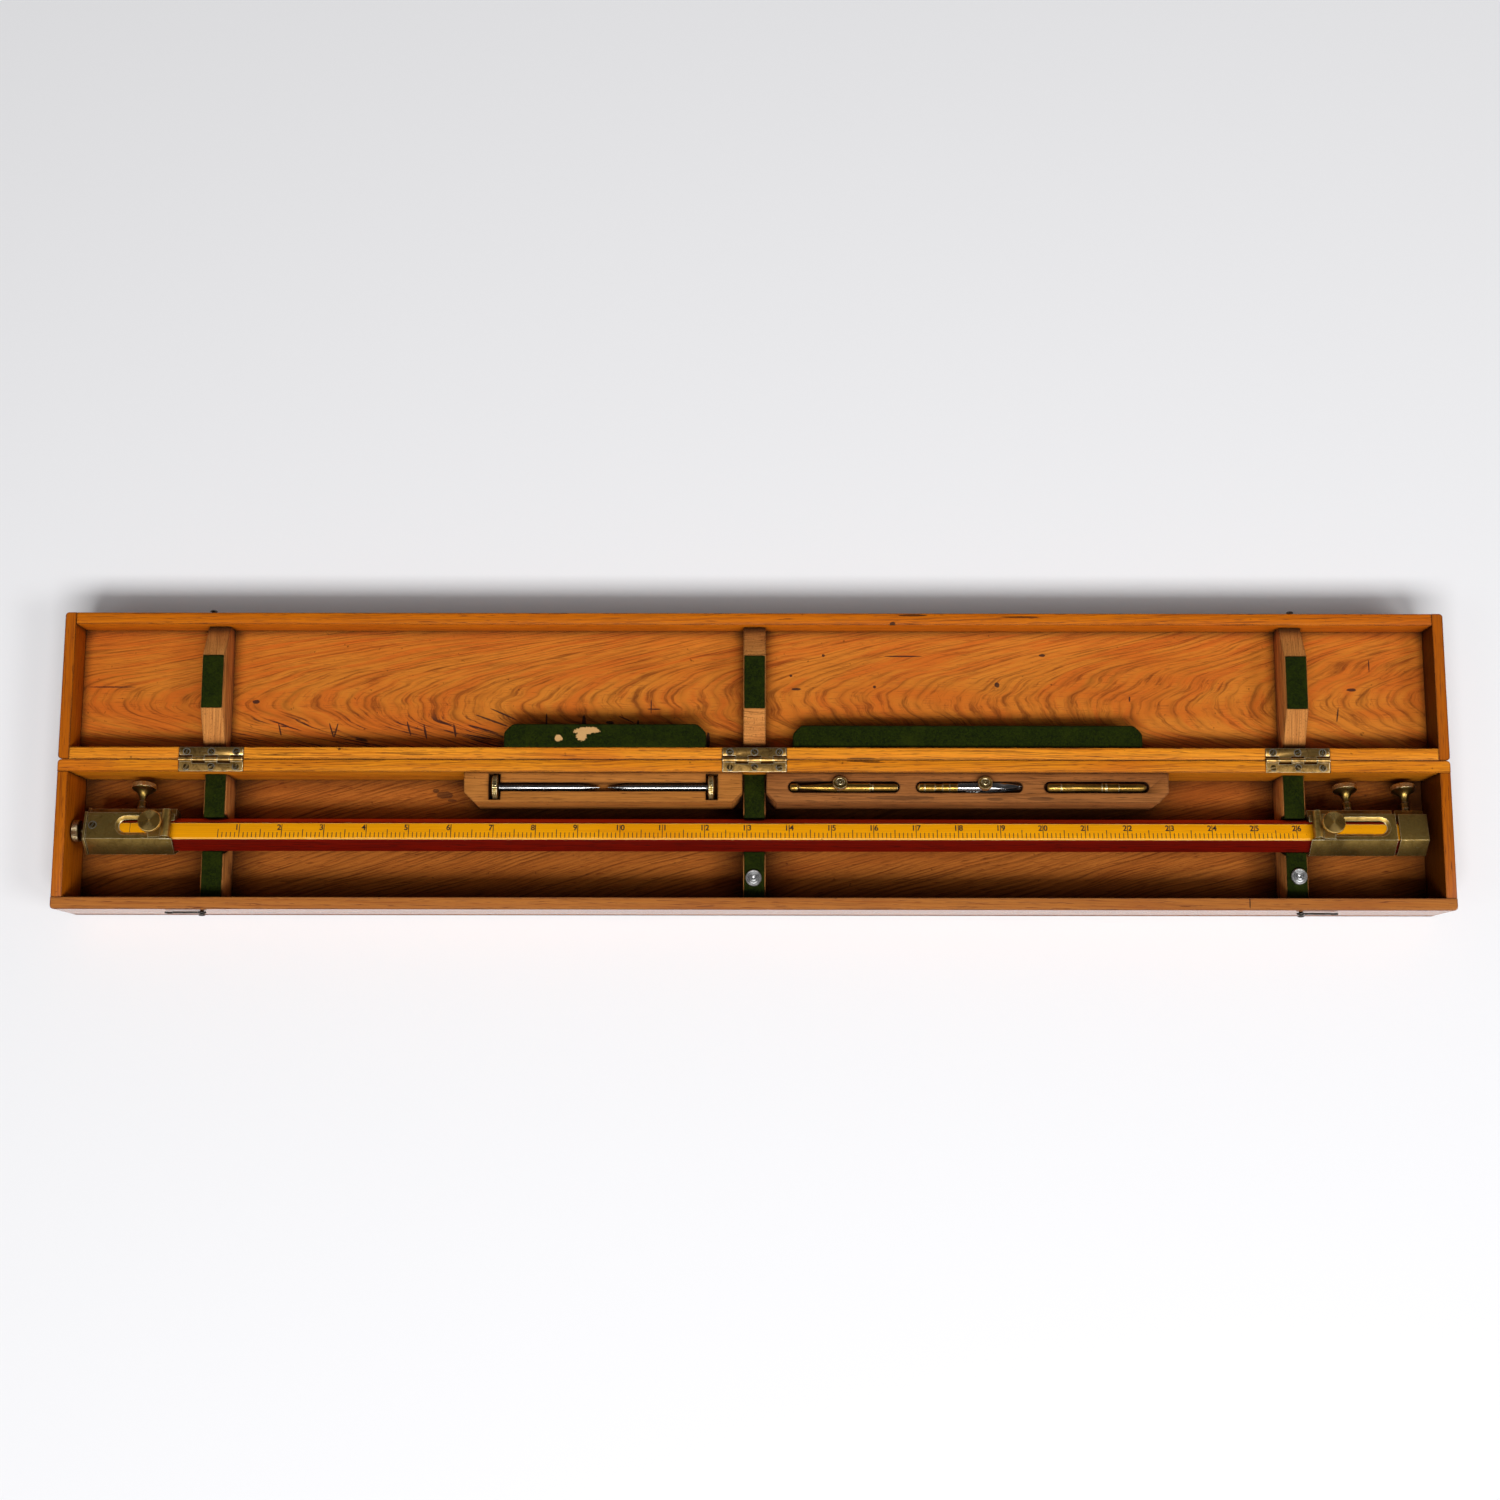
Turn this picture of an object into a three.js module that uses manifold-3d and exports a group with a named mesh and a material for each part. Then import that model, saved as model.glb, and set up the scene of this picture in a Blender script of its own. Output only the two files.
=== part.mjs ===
// A beam compass in its fitted case, with the lid laid open.
// Millimetres. X runs along the beam, +Y points to the back where the lid lies, Z is up.
// The origin is on the table, under the middle of the line of hinges.
import * as THREE from 'three';
import { mergeVertices } from 'three/addons/utils/BufferGeometryUtils.js';
import Module from 'manifold-3d';

const wasm = await Module();
wasm.setup();

// Shared clearances
const seamGap = 0.3; // lid to box, both at the hinge line and between the closed rims
const looseGap = 0.3; // round anything that slides, turns, lifts out or is glued in a slanted seat
const overrun = 4; // how far a cutter runs past the face it leaves

// Case boards
const caseLength = 836;
const halfWidth = 90; // front to back, of the box and of the lid
const boxHeight = 43;
const lidHeight = 26;
const bottomBoard = 7;
const topBoard = 6;
const longWall = 7.2;
const endWall = 6.6;

// Supports under and over the beam
const supportShift = 0.3; // the middle support stands this far right of the middle
const supportHeadRoom = 0.95; // from the right support to the right head
const supportWidth = 13.5;
const supportHeight = 23; // wood above the floor of the box
const feltWidth = 12.2;
const feltThickness = 1;
const lidSupportEnd = 12; // wood above the floor of the lid, at the walls
const lidPlatformRoom = 2; // from the beam to the wood over it, with the lid closed
const lidFlatStart = 30.3; // from the hinge line to the flat's near edge
const lidFlatLength = 32.7;

// Hinges
const hingeLength = 38.1;
const leafThickness = 1.3;
const barrelRadius = 2.2;
const pinRadius = 0.9;
const knuckles = 5;
const barrelSides = 20;

// Hooks on the front of the box, and the pins they catch on the lid
const leftHookFromEnd = 87.7; // from the case's end to the pivot
const rightHookFromEnd = 90.5;
const hookPivotHeight = 32;
const hookReach = 19.5; // pivot to catch pin
const hookWire = 1.6;
const catchRadius = 1.1;
const hookThroat = 1.5; // inner radius of the bend
const eyeRadius = 2.8;
const screwHeadRadius = 2.2;
const screwHeadThickness = 1;
const domeShare = 0.8; // of the head's radius, flat in its middle
const screwDepth = 5; // in the wood

// Beam
const beamSide = 10.4; // each of the six faces
const stripThickness = 1;
const stripMargin = 0.8; // red wood left behind the strip
const beamFromEndPlate = 8.6; // inside the left head
const compassSink = 3.6; // from the top of the felt down to the beam's middle
const compassTilt = THREE.MathUtils.degToRad(13); // the scale faces up and a little back

// Brass heads on the beam, in the beam's own frame: X along, V across, W out of the scale face
const headWall = 1.6;
const beamClearance = 0.35;
const plateBack = 10.3; // back edge of the top plate
const ribBack = 14.8; // back of the rib that houses the pressure shoe
const ribHalf = 5;
const headLength = 51.4;
const endBlockLength = 17.3;
const endBlockGap = 1.6; // between the right head and the end block
const endBlockRoom = 6.8; // from the end block to the case
const adjustRoom = 0.5; // from the adjusting screw to the case
const adjustStandoff = 8.7; // from the screw's outer face to the end plate
const endPlateLip = 0.5;
const windowWidth = 8.4;
const windowBevel = 2;
const windowMiddle = 2.1;
const leftWindowFromEnd = 19; // from the body's outer end to the window's round end
const rightWindowFromEnd = 5.4;
const windowToScrew = 4.2; // from the window's square end to the socket screw

// Rolled sockets that take the points
const tubeRadius = 3;
const tubeBore = 2.4;
const tubeInset = 3.8; // from the head's inner end to the tube's middle
const tubeFront = -6;
const tubeBack = 11.3;
const socketPlate = 1.2;
const socketFront = -5.9;
const socketBack = 9.6;
const socketTail = 2.2; // plate beyond the screw
const socketScrewFromTube = 7.8;
const socketDiscRadius = 6.9;
const socketDiscThickness = 2.6;
const socketNeckLength = 4.6;
const socketNeckRadius = 2.6;
const socketThreadRadius = 1.2;
const socketLine = 1.9; // where the disc screw stands across the plate

// Clamp screws at the back of the heads
const leftClampFromInner = 23; // from the head's inner end
const rightClampFromInner = 26.1;
const clampDiscRadius = 7.3;
const clampDiscThickness = 3.3;
const clampFlareLength = 7.1;
const clampNeckRadius = 2;
const clampCollarRadius = 2.8;
const clampCollarLength = 6;
const clampThreadRadius = 1.8;
const clampRoom = 3.24; // from the clamp screws to the back board
const shoeLength = 17;
const shoeHalf = 3.4;
const shoeBack = 12.9;

// Adjusting screw in the left end
const adjustV = 2;
const adjustW = 1;
const adjustRadius = 1.5;
const adjustDiscRadius = 6.7;
const adjustDiscThickness = 4;
const adjustCollarRadius = 2.6;
const adjustCollarLength = 1.5;
const adjustReach = 24; // inside the head
const adjustBore = 36; // depth of the hole in the beam's end

// Blocks that hold the points and pens
const blockTop = 40;
const blockWidth = 18.15;
const blockCorner = 6;
const blockRoom = 0.5; // from a block to the middle support
const pointBlockLength = 167.2;
const slotFromWall = 8.75; // middle of all the slots

// Needle points, each with its head in a cross slot and its shaft in the long one
const needleSink = 2.6; // from the block's top down to the shaft's middle
const needleRadius = 2.1;
const needleRoom = 0.6; // beside the shaft
const needleHeadRadius = 7.6;
const needleHeadThickness = 3.9;
const needleHeadRoom = 1.15; // from the head to the slot's wall under it
const needleHeadBack = 2.05; // from the head to the slot's outer wall
const headSlotFromEnd = 14.8;
const needleTaper = 12;
const needleTipRadius = 0.25;
const needleTipGap = 4.6;

// Pens and holders, each in its own slot
const penRadius = 2.9;
const penRoom = 0.6; // beside them
const firstSlotFromEnd = 12.85;
const holderSlot = 67.2;
const holderEndRoom = 0.95;
const landAfterHolder = 9.6;
const penSlot = 64.4;
const penEndRoom = 1;
const landAfterPen = 12.7;
const spareSlot = 63.2;
const spareEndRoom = 1.8;
const lastSlotToEnd = 11.7;
const penShank = 24.6;
const bladeWidth = 5.4;
const bladeShares = { slit: 0.12, straight: 0.45, slope: 0.5, turn: 0.85, full: 0.8, thick: 0.85 };
const bladeGap = 1.4;

// Knobs of the holder and the pen. Both pieces have rolled until the knob rests on the block.
const knobTilt = THREE.MathUtils.degToRad(22);
const knobRadius = 4.4;
const knobThickness = 3;
const knobFromAxis = 3.4; // to the knob's underside
const knobStem = 1;
const holderKnobFromEnd = 30.25; // from the left end
const penKnobFromEnd = 40.4;

// Centre discs that lie on the felt
const discRadius = 4.85;
const discThickness = 2.4;
const discPit = 0.9;
const discPitDepth = 1.3;
const middleDiscShift = -0.5;
const middleDiscShare = 0.441; // of the way from the front board to the beam
const rightDiscShift = 0.8;
const rightDiscShare = 0.484;

// Felt pads in the lid that keep the points and pens in their slots
const padWidth = 14.3;
const padCorner = 5;
const pointPadRoom = 2.6; // from the block to the pad, with the lid closed
const pointPadLeftRoom = 3; // from the left point's head
const pointPadRightRoom = 1.2; // from the right point's head
const penPadRoom = 6.4;
const penPadInset = 3.2; // from the ends of the outer slots

// Places worked out from the sizes above
const seat = seamGap / 2;
const rimZ = boxHeight;
const hingeZ = rimZ + seat;
const boxFront = -seat - halfWidth;
const boxBack = -seat;
const boxInnerFront = boxFront + longWall;
const boxInnerBack = boxBack - longWall;
const boxFloor = bottomBoard;
const lidNear = seat;
const lidFar = seat + halfWidth;
const lidUnder = rimZ - lidHeight;
const lidFloor = lidUnder + topBoard;
const lidInnerNear = lidNear + longWall;
const lidInnerFar = lidFar - longWall;
const caseEnd = caseLength / 2;
const innerEnd = caseEnd - endWall;
const supportTop = boxFloor + supportHeight;
const feltTop = supportTop + feltThickness;
const clampLength = clampCollarLength + clampNeckRadius / 2 + clampFlareLength + clampDiscThickness;
const clampTo = ribBack + looseGap + clampLength;
const clampReach = clampTo * Math.cos(compassTilt) + clampDiscRadius * Math.sin(compassTilt);
const compassY = boxInnerBack - clampRoom - clampReach;
const compassZ = feltTop - compassSink;

const adjustOuter = -innerEnd + adjustRoom;
const endPlateOuter = adjustOuter + adjustStandoff;
const endPlateInner = endPlateOuter + headWall;
const leftHeadOuter = endPlateInner + looseGap;
const leftHeadInner = leftHeadOuter + headLength;
const endBlockOuter = innerEnd - endBlockRoom;
const endBlockInner = endBlockOuter - endBlockLength;
const rightHeadOuter = endBlockInner - endBlockGap;
const rightHeadInner = rightHeadOuter - headLength;
const beamLeft = endPlateInner + beamFromEndPlate;
const beamRight = endBlockOuter - headWall - looseGap;
const plateTop = (beamSide * Math.sqrt(3)) / 2 + beamClearance + headWall;
const plateUnder = plateTop - headWall;

const supportRightX = rightHeadInner - supportHeadRoom - supportWidth / 2;
const supportXs = [2 * supportShift - supportRightX, supportShift, supportRightX];
const sideNames = ['left', 'middle', 'right'];
const hookXs = { left: leftHookFromEnd - caseEnd, right: caseEnd - rightHookFromEnd };
const hookY = boxFront - looseGap - hookWire / 2;
const proudOfWood = looseGap + hookWire + looseGap + screwHeadThickness;

const slotLine = boxInnerBack - slotFromWall;
const pointBlockRight = supportShift - supportWidth / 2 - blockRoom;
const pointBlockLeft = pointBlockRight - pointBlockLength;
const penBlockLeft = supportShift + supportWidth / 2 + blockRoom;
const needleAxis = blockTop - needleSink;
const headSlotLength = needleHeadRoom + needleHeadThickness + needleHeadBack;
const leftHeadSlot = [pointBlockLeft + headSlotFromEnd, pointBlockLeft + headSlotFromEnd + headSlotLength];
const rightHeadSlot = [pointBlockRight - headSlotFromEnd - headSlotLength, pointBlockRight - headSlotFromEnd];
const leftNeedle = leftHeadSlot[0] + needleHeadBack;
const rightNeedle = rightHeadSlot[1] - needleHeadBack;
const needleLength = (rightNeedle - leftNeedle - needleTipGap) / 2;

const holderStart = penBlockLeft + firstSlotFromEnd;
const penStart = holderStart + holderSlot + landAfterHolder;
const spareStart = penStart + penSlot + landAfterPen;
const penBlockRight = spareStart + spareSlot + lastSlotToEnd;
const penAxis = blockTop + looseGap - knobFromAxis * Math.cos(knobTilt) + knobRadius * Math.sin(knobTilt);
const holderEnds = [holderStart + holderEndRoom, holderStart + holderSlot - holderEndRoom];
const penEnds = [penStart + penEndRoom, penStart + penSlot - penEndRoom];
const spareEnds = [spareStart + spareEndRoom, spareStart + spareSlot - spareEndRoom];

const finishes = {
  wood: { color: 0xc07a2c, roughness: 0.45, metalness: 0 },
  bareWood: { color: 0xb98455, roughness: 0.8, metalness: 0 },
  felt: { color: 0x1f3312, roughness: 1, metalness: 0 },
  redWood: { color: 0x5a0d08, roughness: 0.35, metalness: 0 },
  boxwood: { color: 0xd9a441, roughness: 0.4, metalness: 0 },
  brass: { color: 0x8a7a45, roughness: 0.35, metalness: 1 },
  steel: { color: 0xb8bcc0, roughness: 0.25, metalness: 1 },
  darkSteel: { color: 0x2c2a28, roughness: 0.5, metalness: 1 },
};

const object = new THREE.Group();
const compass = new THREE.Group();
compass.position.set(0, compassY, compassZ);
compass.rotation.x = -compassTilt;
object.add(compass);

function place(name, geometry, finish, parent = object) {
  const mesh = new THREE.Mesh(geometry, new THREE.MeshStandardMaterial(finishes[finish]));
  mesh.name = name;
  parent.add(mesh);
}

// A closed geometry with shared corners whose faces point outwards
function closed(geometry) {
  const bare = geometry.clone();
  for (const name of Object.keys(bare.attributes)) {
    if (name !== 'position') bare.deleteAttribute(name);
  }
  const merged = mergeVertices(bare);
  const at = merged.getAttribute('position');
  const corners = merged.index.array;
  const [a, b, c] = [new THREE.Vector3(), new THREE.Vector3(), new THREE.Vector3()];
  let volume = 0;
  for (let i = 0; i < corners.length; i += 3) {
    a.fromBufferAttribute(at, corners[i]);
    b.fromBufferAttribute(at, corners[i + 1]);
    c.fromBufferAttribute(at, corners[i + 2]);
    volume += a.dot(b.cross(c));
  }
  if (volume < 0) {
    for (let i = 0; i < corners.length; i += 3) {
      [corners[i], corners[i + 1]] = [corners[i + 1], corners[i]];
    }
  }
  return merged;
}

function toSolid(geometry) {
  const merged = closed(geometry);
  const mesh = new wasm.Mesh({
    numProp: 3,
    vertProperties: new Float32Array(merged.getAttribute('position').array),
    triVerts: new Uint32Array(merged.index.array),
  });
  return new wasm.Manifold(mesh);
}

function toGeometry(solid) {
  const mesh = solid.getMesh();
  const geometry = new THREE.BufferGeometry();
  geometry.setAttribute('position', new THREE.BufferAttribute(mesh.vertProperties, 3));
  geometry.setIndex(new THREE.BufferAttribute(mesh.triVerts, 1));
  return geometry;
}

function join(...geometries) {
  return toGeometry(geometries.map(toSolid).reduce((sum, next) => sum.add(next)));
}

function cut(geometry, ...cutters) {
  return toGeometry(cutters.map(toSolid).reduce((left, next) => left.subtract(next), toSolid(geometry)));
}

function common(first, second) {
  return toGeometry(toSolid(first).intersect(toSolid(second)));
}

function block([x0, x1], [y0, y1], [z0, z1]) {
  const geometry = new THREE.BoxGeometry(x1 - x0, y1 - y0, z1 - z0);
  return geometry.translate((x0 + x1) / 2, (y0 + y1) / 2, (z0 + z1) / 2);
}

// An outline in Y and Z, drawn out along X
function alongX(outline, x0, x1) {
  const shape = new THREE.Shape(outline.map(([y, z]) => new THREE.Vector2(y, z)));
  const geometry = new THREE.ExtrudeGeometry(shape, { depth: x1 - x0, bevelEnabled: false });
  const turn = new THREE.Matrix4().makeBasis(
    new THREE.Vector3(0, 1, 0), new THREE.Vector3(0, 0, 1), new THREE.Vector3(1, 0, 0));
  return geometry.applyMatrix4(turn).translate(x0, 0, 0);
}

// An outline in X and Y, drawn up along Z
function upwards(shape, z0, z1) {
  return new THREE.ExtrudeGeometry(shape, { depth: z1 - z0, bevelEnabled: false }).translate(0, 0, z0);
}

// A turned piece: a profile of [distance along, radius] about X, Y or Z, starting at the origin
function turned(profile, axis, sides = 24) {
  const points = profile.map(([along, radius]) => new THREE.Vector2(radius, along));
  const geometry = new THREE.LatheGeometry(points, sides);
  if (axis === 'x') return geometry.rotateZ(-Math.PI / 2);
  if (axis === 'z') return geometry.rotateX(Math.PI / 2);
  return geometry;
}

function rod(radius, from, to, axis, sides = 16) {
  return turned([[from, 0], [from, radius], [to, radius], [to, 0]], axis, sides);
}

// Corners of a six-sided bar, with one flat up, grown by a clearance on every face
function hexagon(clearance) {
  const side = beamSide + (2 * clearance) / Math.sqrt(3);
  return [0, 1, 2, 3, 4, 5].map((k) => {
    const angle = (k * Math.PI) / 3;
    return [side * Math.cos(angle), side * Math.sin(angle)];
  });
}

// From the beam's own frame to the case
function inCase([v, w]) {
  const c = Math.cos(compassTilt);
  const s = Math.sin(compassTilt);
  return [compassY + v * c + w * s, compassZ - v * s + w * c];
}

// The notch a beam lifts straight up out of: its lower half, open at the top
function notch(clearance, x0, x1) {
  const [back, , , front, lowFront, lowBack] = hexagon(clearance).map(inCase);
  const open = rimZ + overrun;
  return alongX([[front[0], open], front, lowFront, lowBack, back, [back[0], open]], x0, x1);
}

function addBox() {
  const across = [boxFront, boxBack];
  const walls = [boxFloor, rimZ];
  const along = [-caseEnd, caseEnd];
  place('box_bottom', block(along, across, [0, boxFloor]), 'wood');
  const front = block(along, [boxFront, boxInnerFront], walls);
  const hole = (x) => pinHole().rotateX(Math.PI).translate(x, boxFront, hookPivotHeight);
  const holes = Object.values(hookXs).map(hole);
  place('box_front_board', cut(front, ...holes), 'wood');
  place('box_back_board', cut(block(along, [boxInnerBack, boxBack], walls), ...hingeCutters(-1)), 'wood');
  const inner = [boxInnerFront, boxInnerBack];
  place('box_left_end', block([-caseEnd, -innerEnd], inner, walls), 'wood');
  place('box_right_end', block([innerEnd, caseEnd], inner, walls), 'wood');
}

function addLid() {
  const across = [lidNear, lidFar];
  const walls = [lidFloor, rimZ];
  place('lid_top', block([-caseEnd, caseEnd], across, [lidUnder, lidFloor]), 'wood');
  place('lid_left_end', block([-caseEnd, -innerEnd], across, walls), 'wood');
  place('lid_right_end', block([innerEnd, caseEnd], across, walls), 'wood');
  const between = [-innerEnd, innerEnd];
  const near = block(between, [lidNear, lidInnerNear], walls);
  place('lid_hinge_board', cut(near, ...hingeCutters(1)), 'wood');
  const far = block(between, [lidInnerFar, lidFar], walls);
  const holes = Object.values(hookXs).map((x) => pinHole().translate(x, lidFar, catchHeight()));
  place('lid_far_board', cut(far, ...holes), 'wood');
}

function pinHole() {
  return rod(catchRadius + looseGap, -screwDepth - looseGap, overrun, 'y');
}

// The pin's height in the open lid, from where the engaged hook holds it in the closed one
function catchHeight() {
  return 2 * hingeZ - (hookPivotHeight + hookReach);
}

// What the leaves and the barrel take out of a board; side is -1 for the box and 1 for the lid
function hingeCutters(side) {
  return supportXs.flatMap((x) => {
    const along = [x - hingeLength / 2 - looseGap, x + hingeLength / 2 + looseGap];
    const edges = [0, side * (longWall + overrun)].sort((a, b) => a - b);
    const leaf = block(along, edges, [rimZ - leafThickness, rimZ + overrun]);
    const barrel = rod(barrelRadius + looseGap, along[0], along[1], 'x', barrelSides).translate(0, 0, hingeZ);
    return [leaf, barrel];
  });
}

// One leaf with its knuckles. The box's leaf carries the pin, and the lid's turns on it.
function hingeLeaf(x, side) {
  const step = hingeLength / knuckles;
  const start = x - hingeLength / 2;
  const outer = side * (longWall + seat);
  const plateEdges = [side * (barrelRadius + looseGap), outer].sort((a, b) => a - b);
  const plateHeights = [rimZ - leafThickness, rimZ];
  const parts = [block([start, start + hingeLength], plateEdges, plateHeights)];
  for (let k = side < 0 ? 0 : 1; k < knuckles; k += 2) {
    const x0 = start + k * step + (k > 0 ? looseGap / 2 : 0);
    const x1 = start + (k + 1) * step - (k < knuckles - 1 ? looseGap / 2 : 0);
    const neck = [0, side * (barrelRadius + 2 * looseGap)].sort((a, b) => a - b);
    parts.push(block([x0, x1], neck, plateHeights));
    parts.push(rod(barrelRadius, x0, x1, 'x', barrelSides).translate(0, 0, hingeZ));
  }
  const pinEnds = [start, start + hingeLength];
  if (side < 0) {
    return join(...parts, rod(pinRadius, ...pinEnds, 'x').translate(0, 0, hingeZ));
  }
  const bore = rod(pinRadius + looseGap, pinEnds[0] - overrun, pinEnds[1] + overrun, 'x');
  return cut(join(...parts), bore.translate(0, 0, hingeZ));
}

function addHinges() {
  supportXs.forEach((x, i) => {
    place(`hinge_box_leaf_${sideNames[i]}`, hingeLeaf(x, -1), 'brass');
    place(`hinge_lid_leaf_${sideNames[i]}`, hingeLeaf(x, 1), 'brass');
  });
}

// The beam's highest line once it lies in the case, seen from the lid that closes over it
function ridgeInLid() {
  const [, , ridge] = hexagon(0).map(inCase);
  return 2 * hingeZ - ridge[1];
}

function addSupports() {
  const ends = [boxInnerFront, boxInnerBack];
  const platform = ridgeInLid() - lidPlatformRoom;
  supportXs.forEach((x, i) => {
    const wide = [x - supportWidth / 2, x + supportWidth / 2];
    const woodNotch = notch(2 * looseGap + feltThickness, wide[0] - overrun, wide[1] + overrun);
    const wood = cut(block(wide, ends, [boxFloor, supportTop]), woodNotch);
    place(`box_support_${sideNames[i]}`, wood, 'bareWood');

    const narrow = [x - feltWidth / 2, x + feltWidth / 2];
    const room = block(narrow, ends, [boxFloor, feltTop]);
    const lining = common(notch(looseGap + feltThickness, ...narrow), room);
    const sheet = block(narrow, ends, [supportTop, feltTop]);
    const opening = notch(looseGap, narrow[0] - overrun, narrow[1] + overrun);
    place(`support_felt_${sideNames[i]}`, cut(join(lining, sheet), opening), 'felt');

    const outline = [
      [lidInnerNear, lidFloor], [lidInnerNear, lidFloor + lidSupportEnd],
      [lidFlatStart, platform], [lidFlatStart + lidFlatLength, platform],
      [lidInnerFar, lidFloor + lidSupportEnd], [lidInnerFar, lidFloor],
    ];
    place(`lid_support_${sideNames[i]}`, alongX(outline, ...wide), 'bareWood');
  });
}

// A block or pad against a wall, with the two corners away from the wall cut off
function corneredPlan([x0, x1], wall, away, corner) {
  const inward = Math.sign(wall - away) * corner;
  return new THREE.Shape([
    new THREE.Vector2(x0, wall), new THREE.Vector2(x1, wall),
    new THREE.Vector2(x1, away + inward), new THREE.Vector2(x1 - corner, away),
    new THREE.Vector2(x0 + corner, away), new THREE.Vector2(x0, away + inward),
  ]);
}

function addPads() {
  const far = lidInnerNear + padWidth;
  const closedBlock = 2 * hingeZ - blockTop;
  const pointPad = [
    leftNeedle + needleHeadThickness + pointPadLeftRoom,
    rightNeedle - needleHeadThickness - pointPadRightRoom,
  ];
  const pointPlan = corneredPlan(pointPad, lidInnerNear, far, padCorner);
  place('lid_pad_left', upwards(pointPlan, lidFloor, closedBlock - pointPadRoom), 'felt');
  const penPad = [holderStart + penPadInset, spareStart + spareSlot - penPadInset];
  const penPlan = corneredPlan(penPad, lidInnerNear, far, padCorner);
  place('lid_pad_right', upwards(penPlan, lidFloor, closedBlock - penPadRoom), 'felt');
}

// A slot with round ends, open at the top
function roundSlot(start, length) {
  const r = penRadius + penRoom;
  const shape = new THREE.Shape();
  shape.absarc(start + length - r, slotLine, r, -Math.PI / 2, Math.PI / 2);
  shape.absarc(start + r, slotLine, r, Math.PI / 2, (3 * Math.PI) / 2);
  return upwards(shape, penAxis - penRadius - looseGap, blockTop + overrun);
}

function addBlocks() {
  const front = boxInnerBack - blockWidth;
  const across = (half) => [slotLine - half, slotLine + half];
  const pointPlan = corneredPlan([pointBlockLeft, pointBlockRight], boxInnerBack, front, blockCorner);
  const deep = [needleAxis - needleHeadRadius - looseGap, blockTop + overrun];
  const headSlots = [leftHeadSlot, rightHeadSlot].map(
    (ends) => block(ends, across(needleHeadRadius + looseGap), deep));
  const shaftSlot = block([leftHeadSlot[0], rightHeadSlot[1]], across(needleRadius + needleRoom),
    [needleAxis - needleRadius - looseGap, blockTop + overrun]);
  const pointBlock = upwards(pointPlan, boxFloor, blockTop);
  place('point_block', cut(pointBlock, ...headSlots, shaftSlot), 'bareWood');

  const penPlan = corneredPlan([penBlockLeft, penBlockRight], boxInnerBack, front, blockCorner);
  const slots = [
    roundSlot(holderStart, holderSlot), roundSlot(penStart, penSlot), roundSlot(spareStart, spareSlot),
  ];
  place('pen_block', cut(upwards(penPlan, boxFloor, blockTop), ...slots), 'bareWood');
}

// A hook lying level, with its eye at the pivot and its bend open upwards; side is -1 or 1
function hook(side) {
  const bend = hookThroat + hookWire / 2;
  const path = new THREE.CurvePath();
  const startX = side * (eyeRadius - hookWire / 2);
  const point = (x, z) => new THREE.Vector3(x, 0, z);
  const bendStart = side * (hookReach - bend);
  path.add(new THREE.LineCurve3(point(startX, 0), point(bendStart, 0)));
  const steps = 8;
  const arc = [];
  for (let k = 0; k <= steps; k += 1) {
    const angle = Math.PI + (k * Math.PI) / steps;
    arc.push(point(side * (hookReach + bend * Math.cos(angle)), bend * Math.sin(angle)));
  }
  for (let k = 0; k < steps; k += 1) path.add(new THREE.LineCurve3(arc[k], arc[k + 1]));
  const section = new THREE.Shape();
  section.absarc(0, 0, hookWire / 2, 0, 2 * Math.PI);
  const wire = new THREE.ExtrudeGeometry(section, { steps: 60, curveSegments: 4, extrudePath: path });
  const eye = rod(eyeRadius, -hookWire / 2, hookWire / 2, 'y', 20);
  const hole = rod(catchRadius + looseGap, -overrun, overrun, 'y');
  return cut(join(wire, eye), hole);
}

// A round-headed pin screwed into the wood, pointing along -Y from the face it stands on
function pin() {
  const neck = proudOfWood - screwHeadThickness;
  return turned([
    [-screwDepth, 0], [-screwDepth, catchRadius], [neck, catchRadius], [neck, screwHeadRadius],
    [proudOfWood, screwHeadRadius * domeShare], [proudOfWood, 0],
  ], 'y', 20).rotateX(Math.PI);
}

function addHooks() {
  Object.entries(hookXs).forEach(([name, x]) => {
    const side = name === 'left' ? -1 : 1;
    place(`hook_${name}`, hook(side).translate(x, hookY, hookPivotHeight), 'darkSteel');
    place(`hook_screw_${name}`, pin().translate(x, boxFront, hookPivotHeight), 'darkSteel');
    const catchPin = pin().rotateZ(Math.PI).translate(x, lidFar, catchHeight());
    place(`catch_pin_${name}`, catchPin, 'darkSteel');
  });
}

function addBeam() {
  const face = (beamSide * Math.sqrt(3)) / 2;
  const bar = alongX(hexagon(0), beamLeft, beamRight);
  const seatOfStrip = face - stripThickness;
  const ends = [beamLeft - overrun, beamRight + overrun];
  const stripBack = beamSide / 2 - stripMargin;
  const seat = [-2 * beamSide, stripBack + looseGap];
  const rebate = block(ends, seat, [seatOfStrip - looseGap, 2 * beamSide]);
  const room = block(ends, [-2 * beamSide, stripBack], [seatOfStrip, 2 * beamSide]);
  const bore = rod(adjustRadius + looseGap, beamLeft - overrun, beamLeft + adjustBore, 'x')
    .translate(0, adjustV, adjustW);
  place('beam_bar', cut(bar, rebate, bore), 'redWood', compass);
  place('scale_strip', common(bar, room), 'boxwood', compass);
}

// The brass sleeve round the beam, with the rib for the shoe at its back
function headOutline() {
  const wall = beamClearance + headWall;
  const [, topBack, topFront, front, lowFront, lowBack] = hexagon(wall);
  const slope = (topBack[1] - ribHalf) / Math.sqrt(3);
  return [
    topFront, [plateBack, topBack[1]], [plateBack, ribHalf], [ribBack, ribHalf],
    [ribBack, -ribHalf], [lowBack[0] + slope, -ribHalf], lowBack, lowFront, front,
  ];
}

function sleeve(x0, x1) {
  const inside = alongX(hexagon(beamClearance), x0 - overrun, x1 + overrun);
  return cut(alongX(headOutline(), x0, x1), inside);
}

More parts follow.
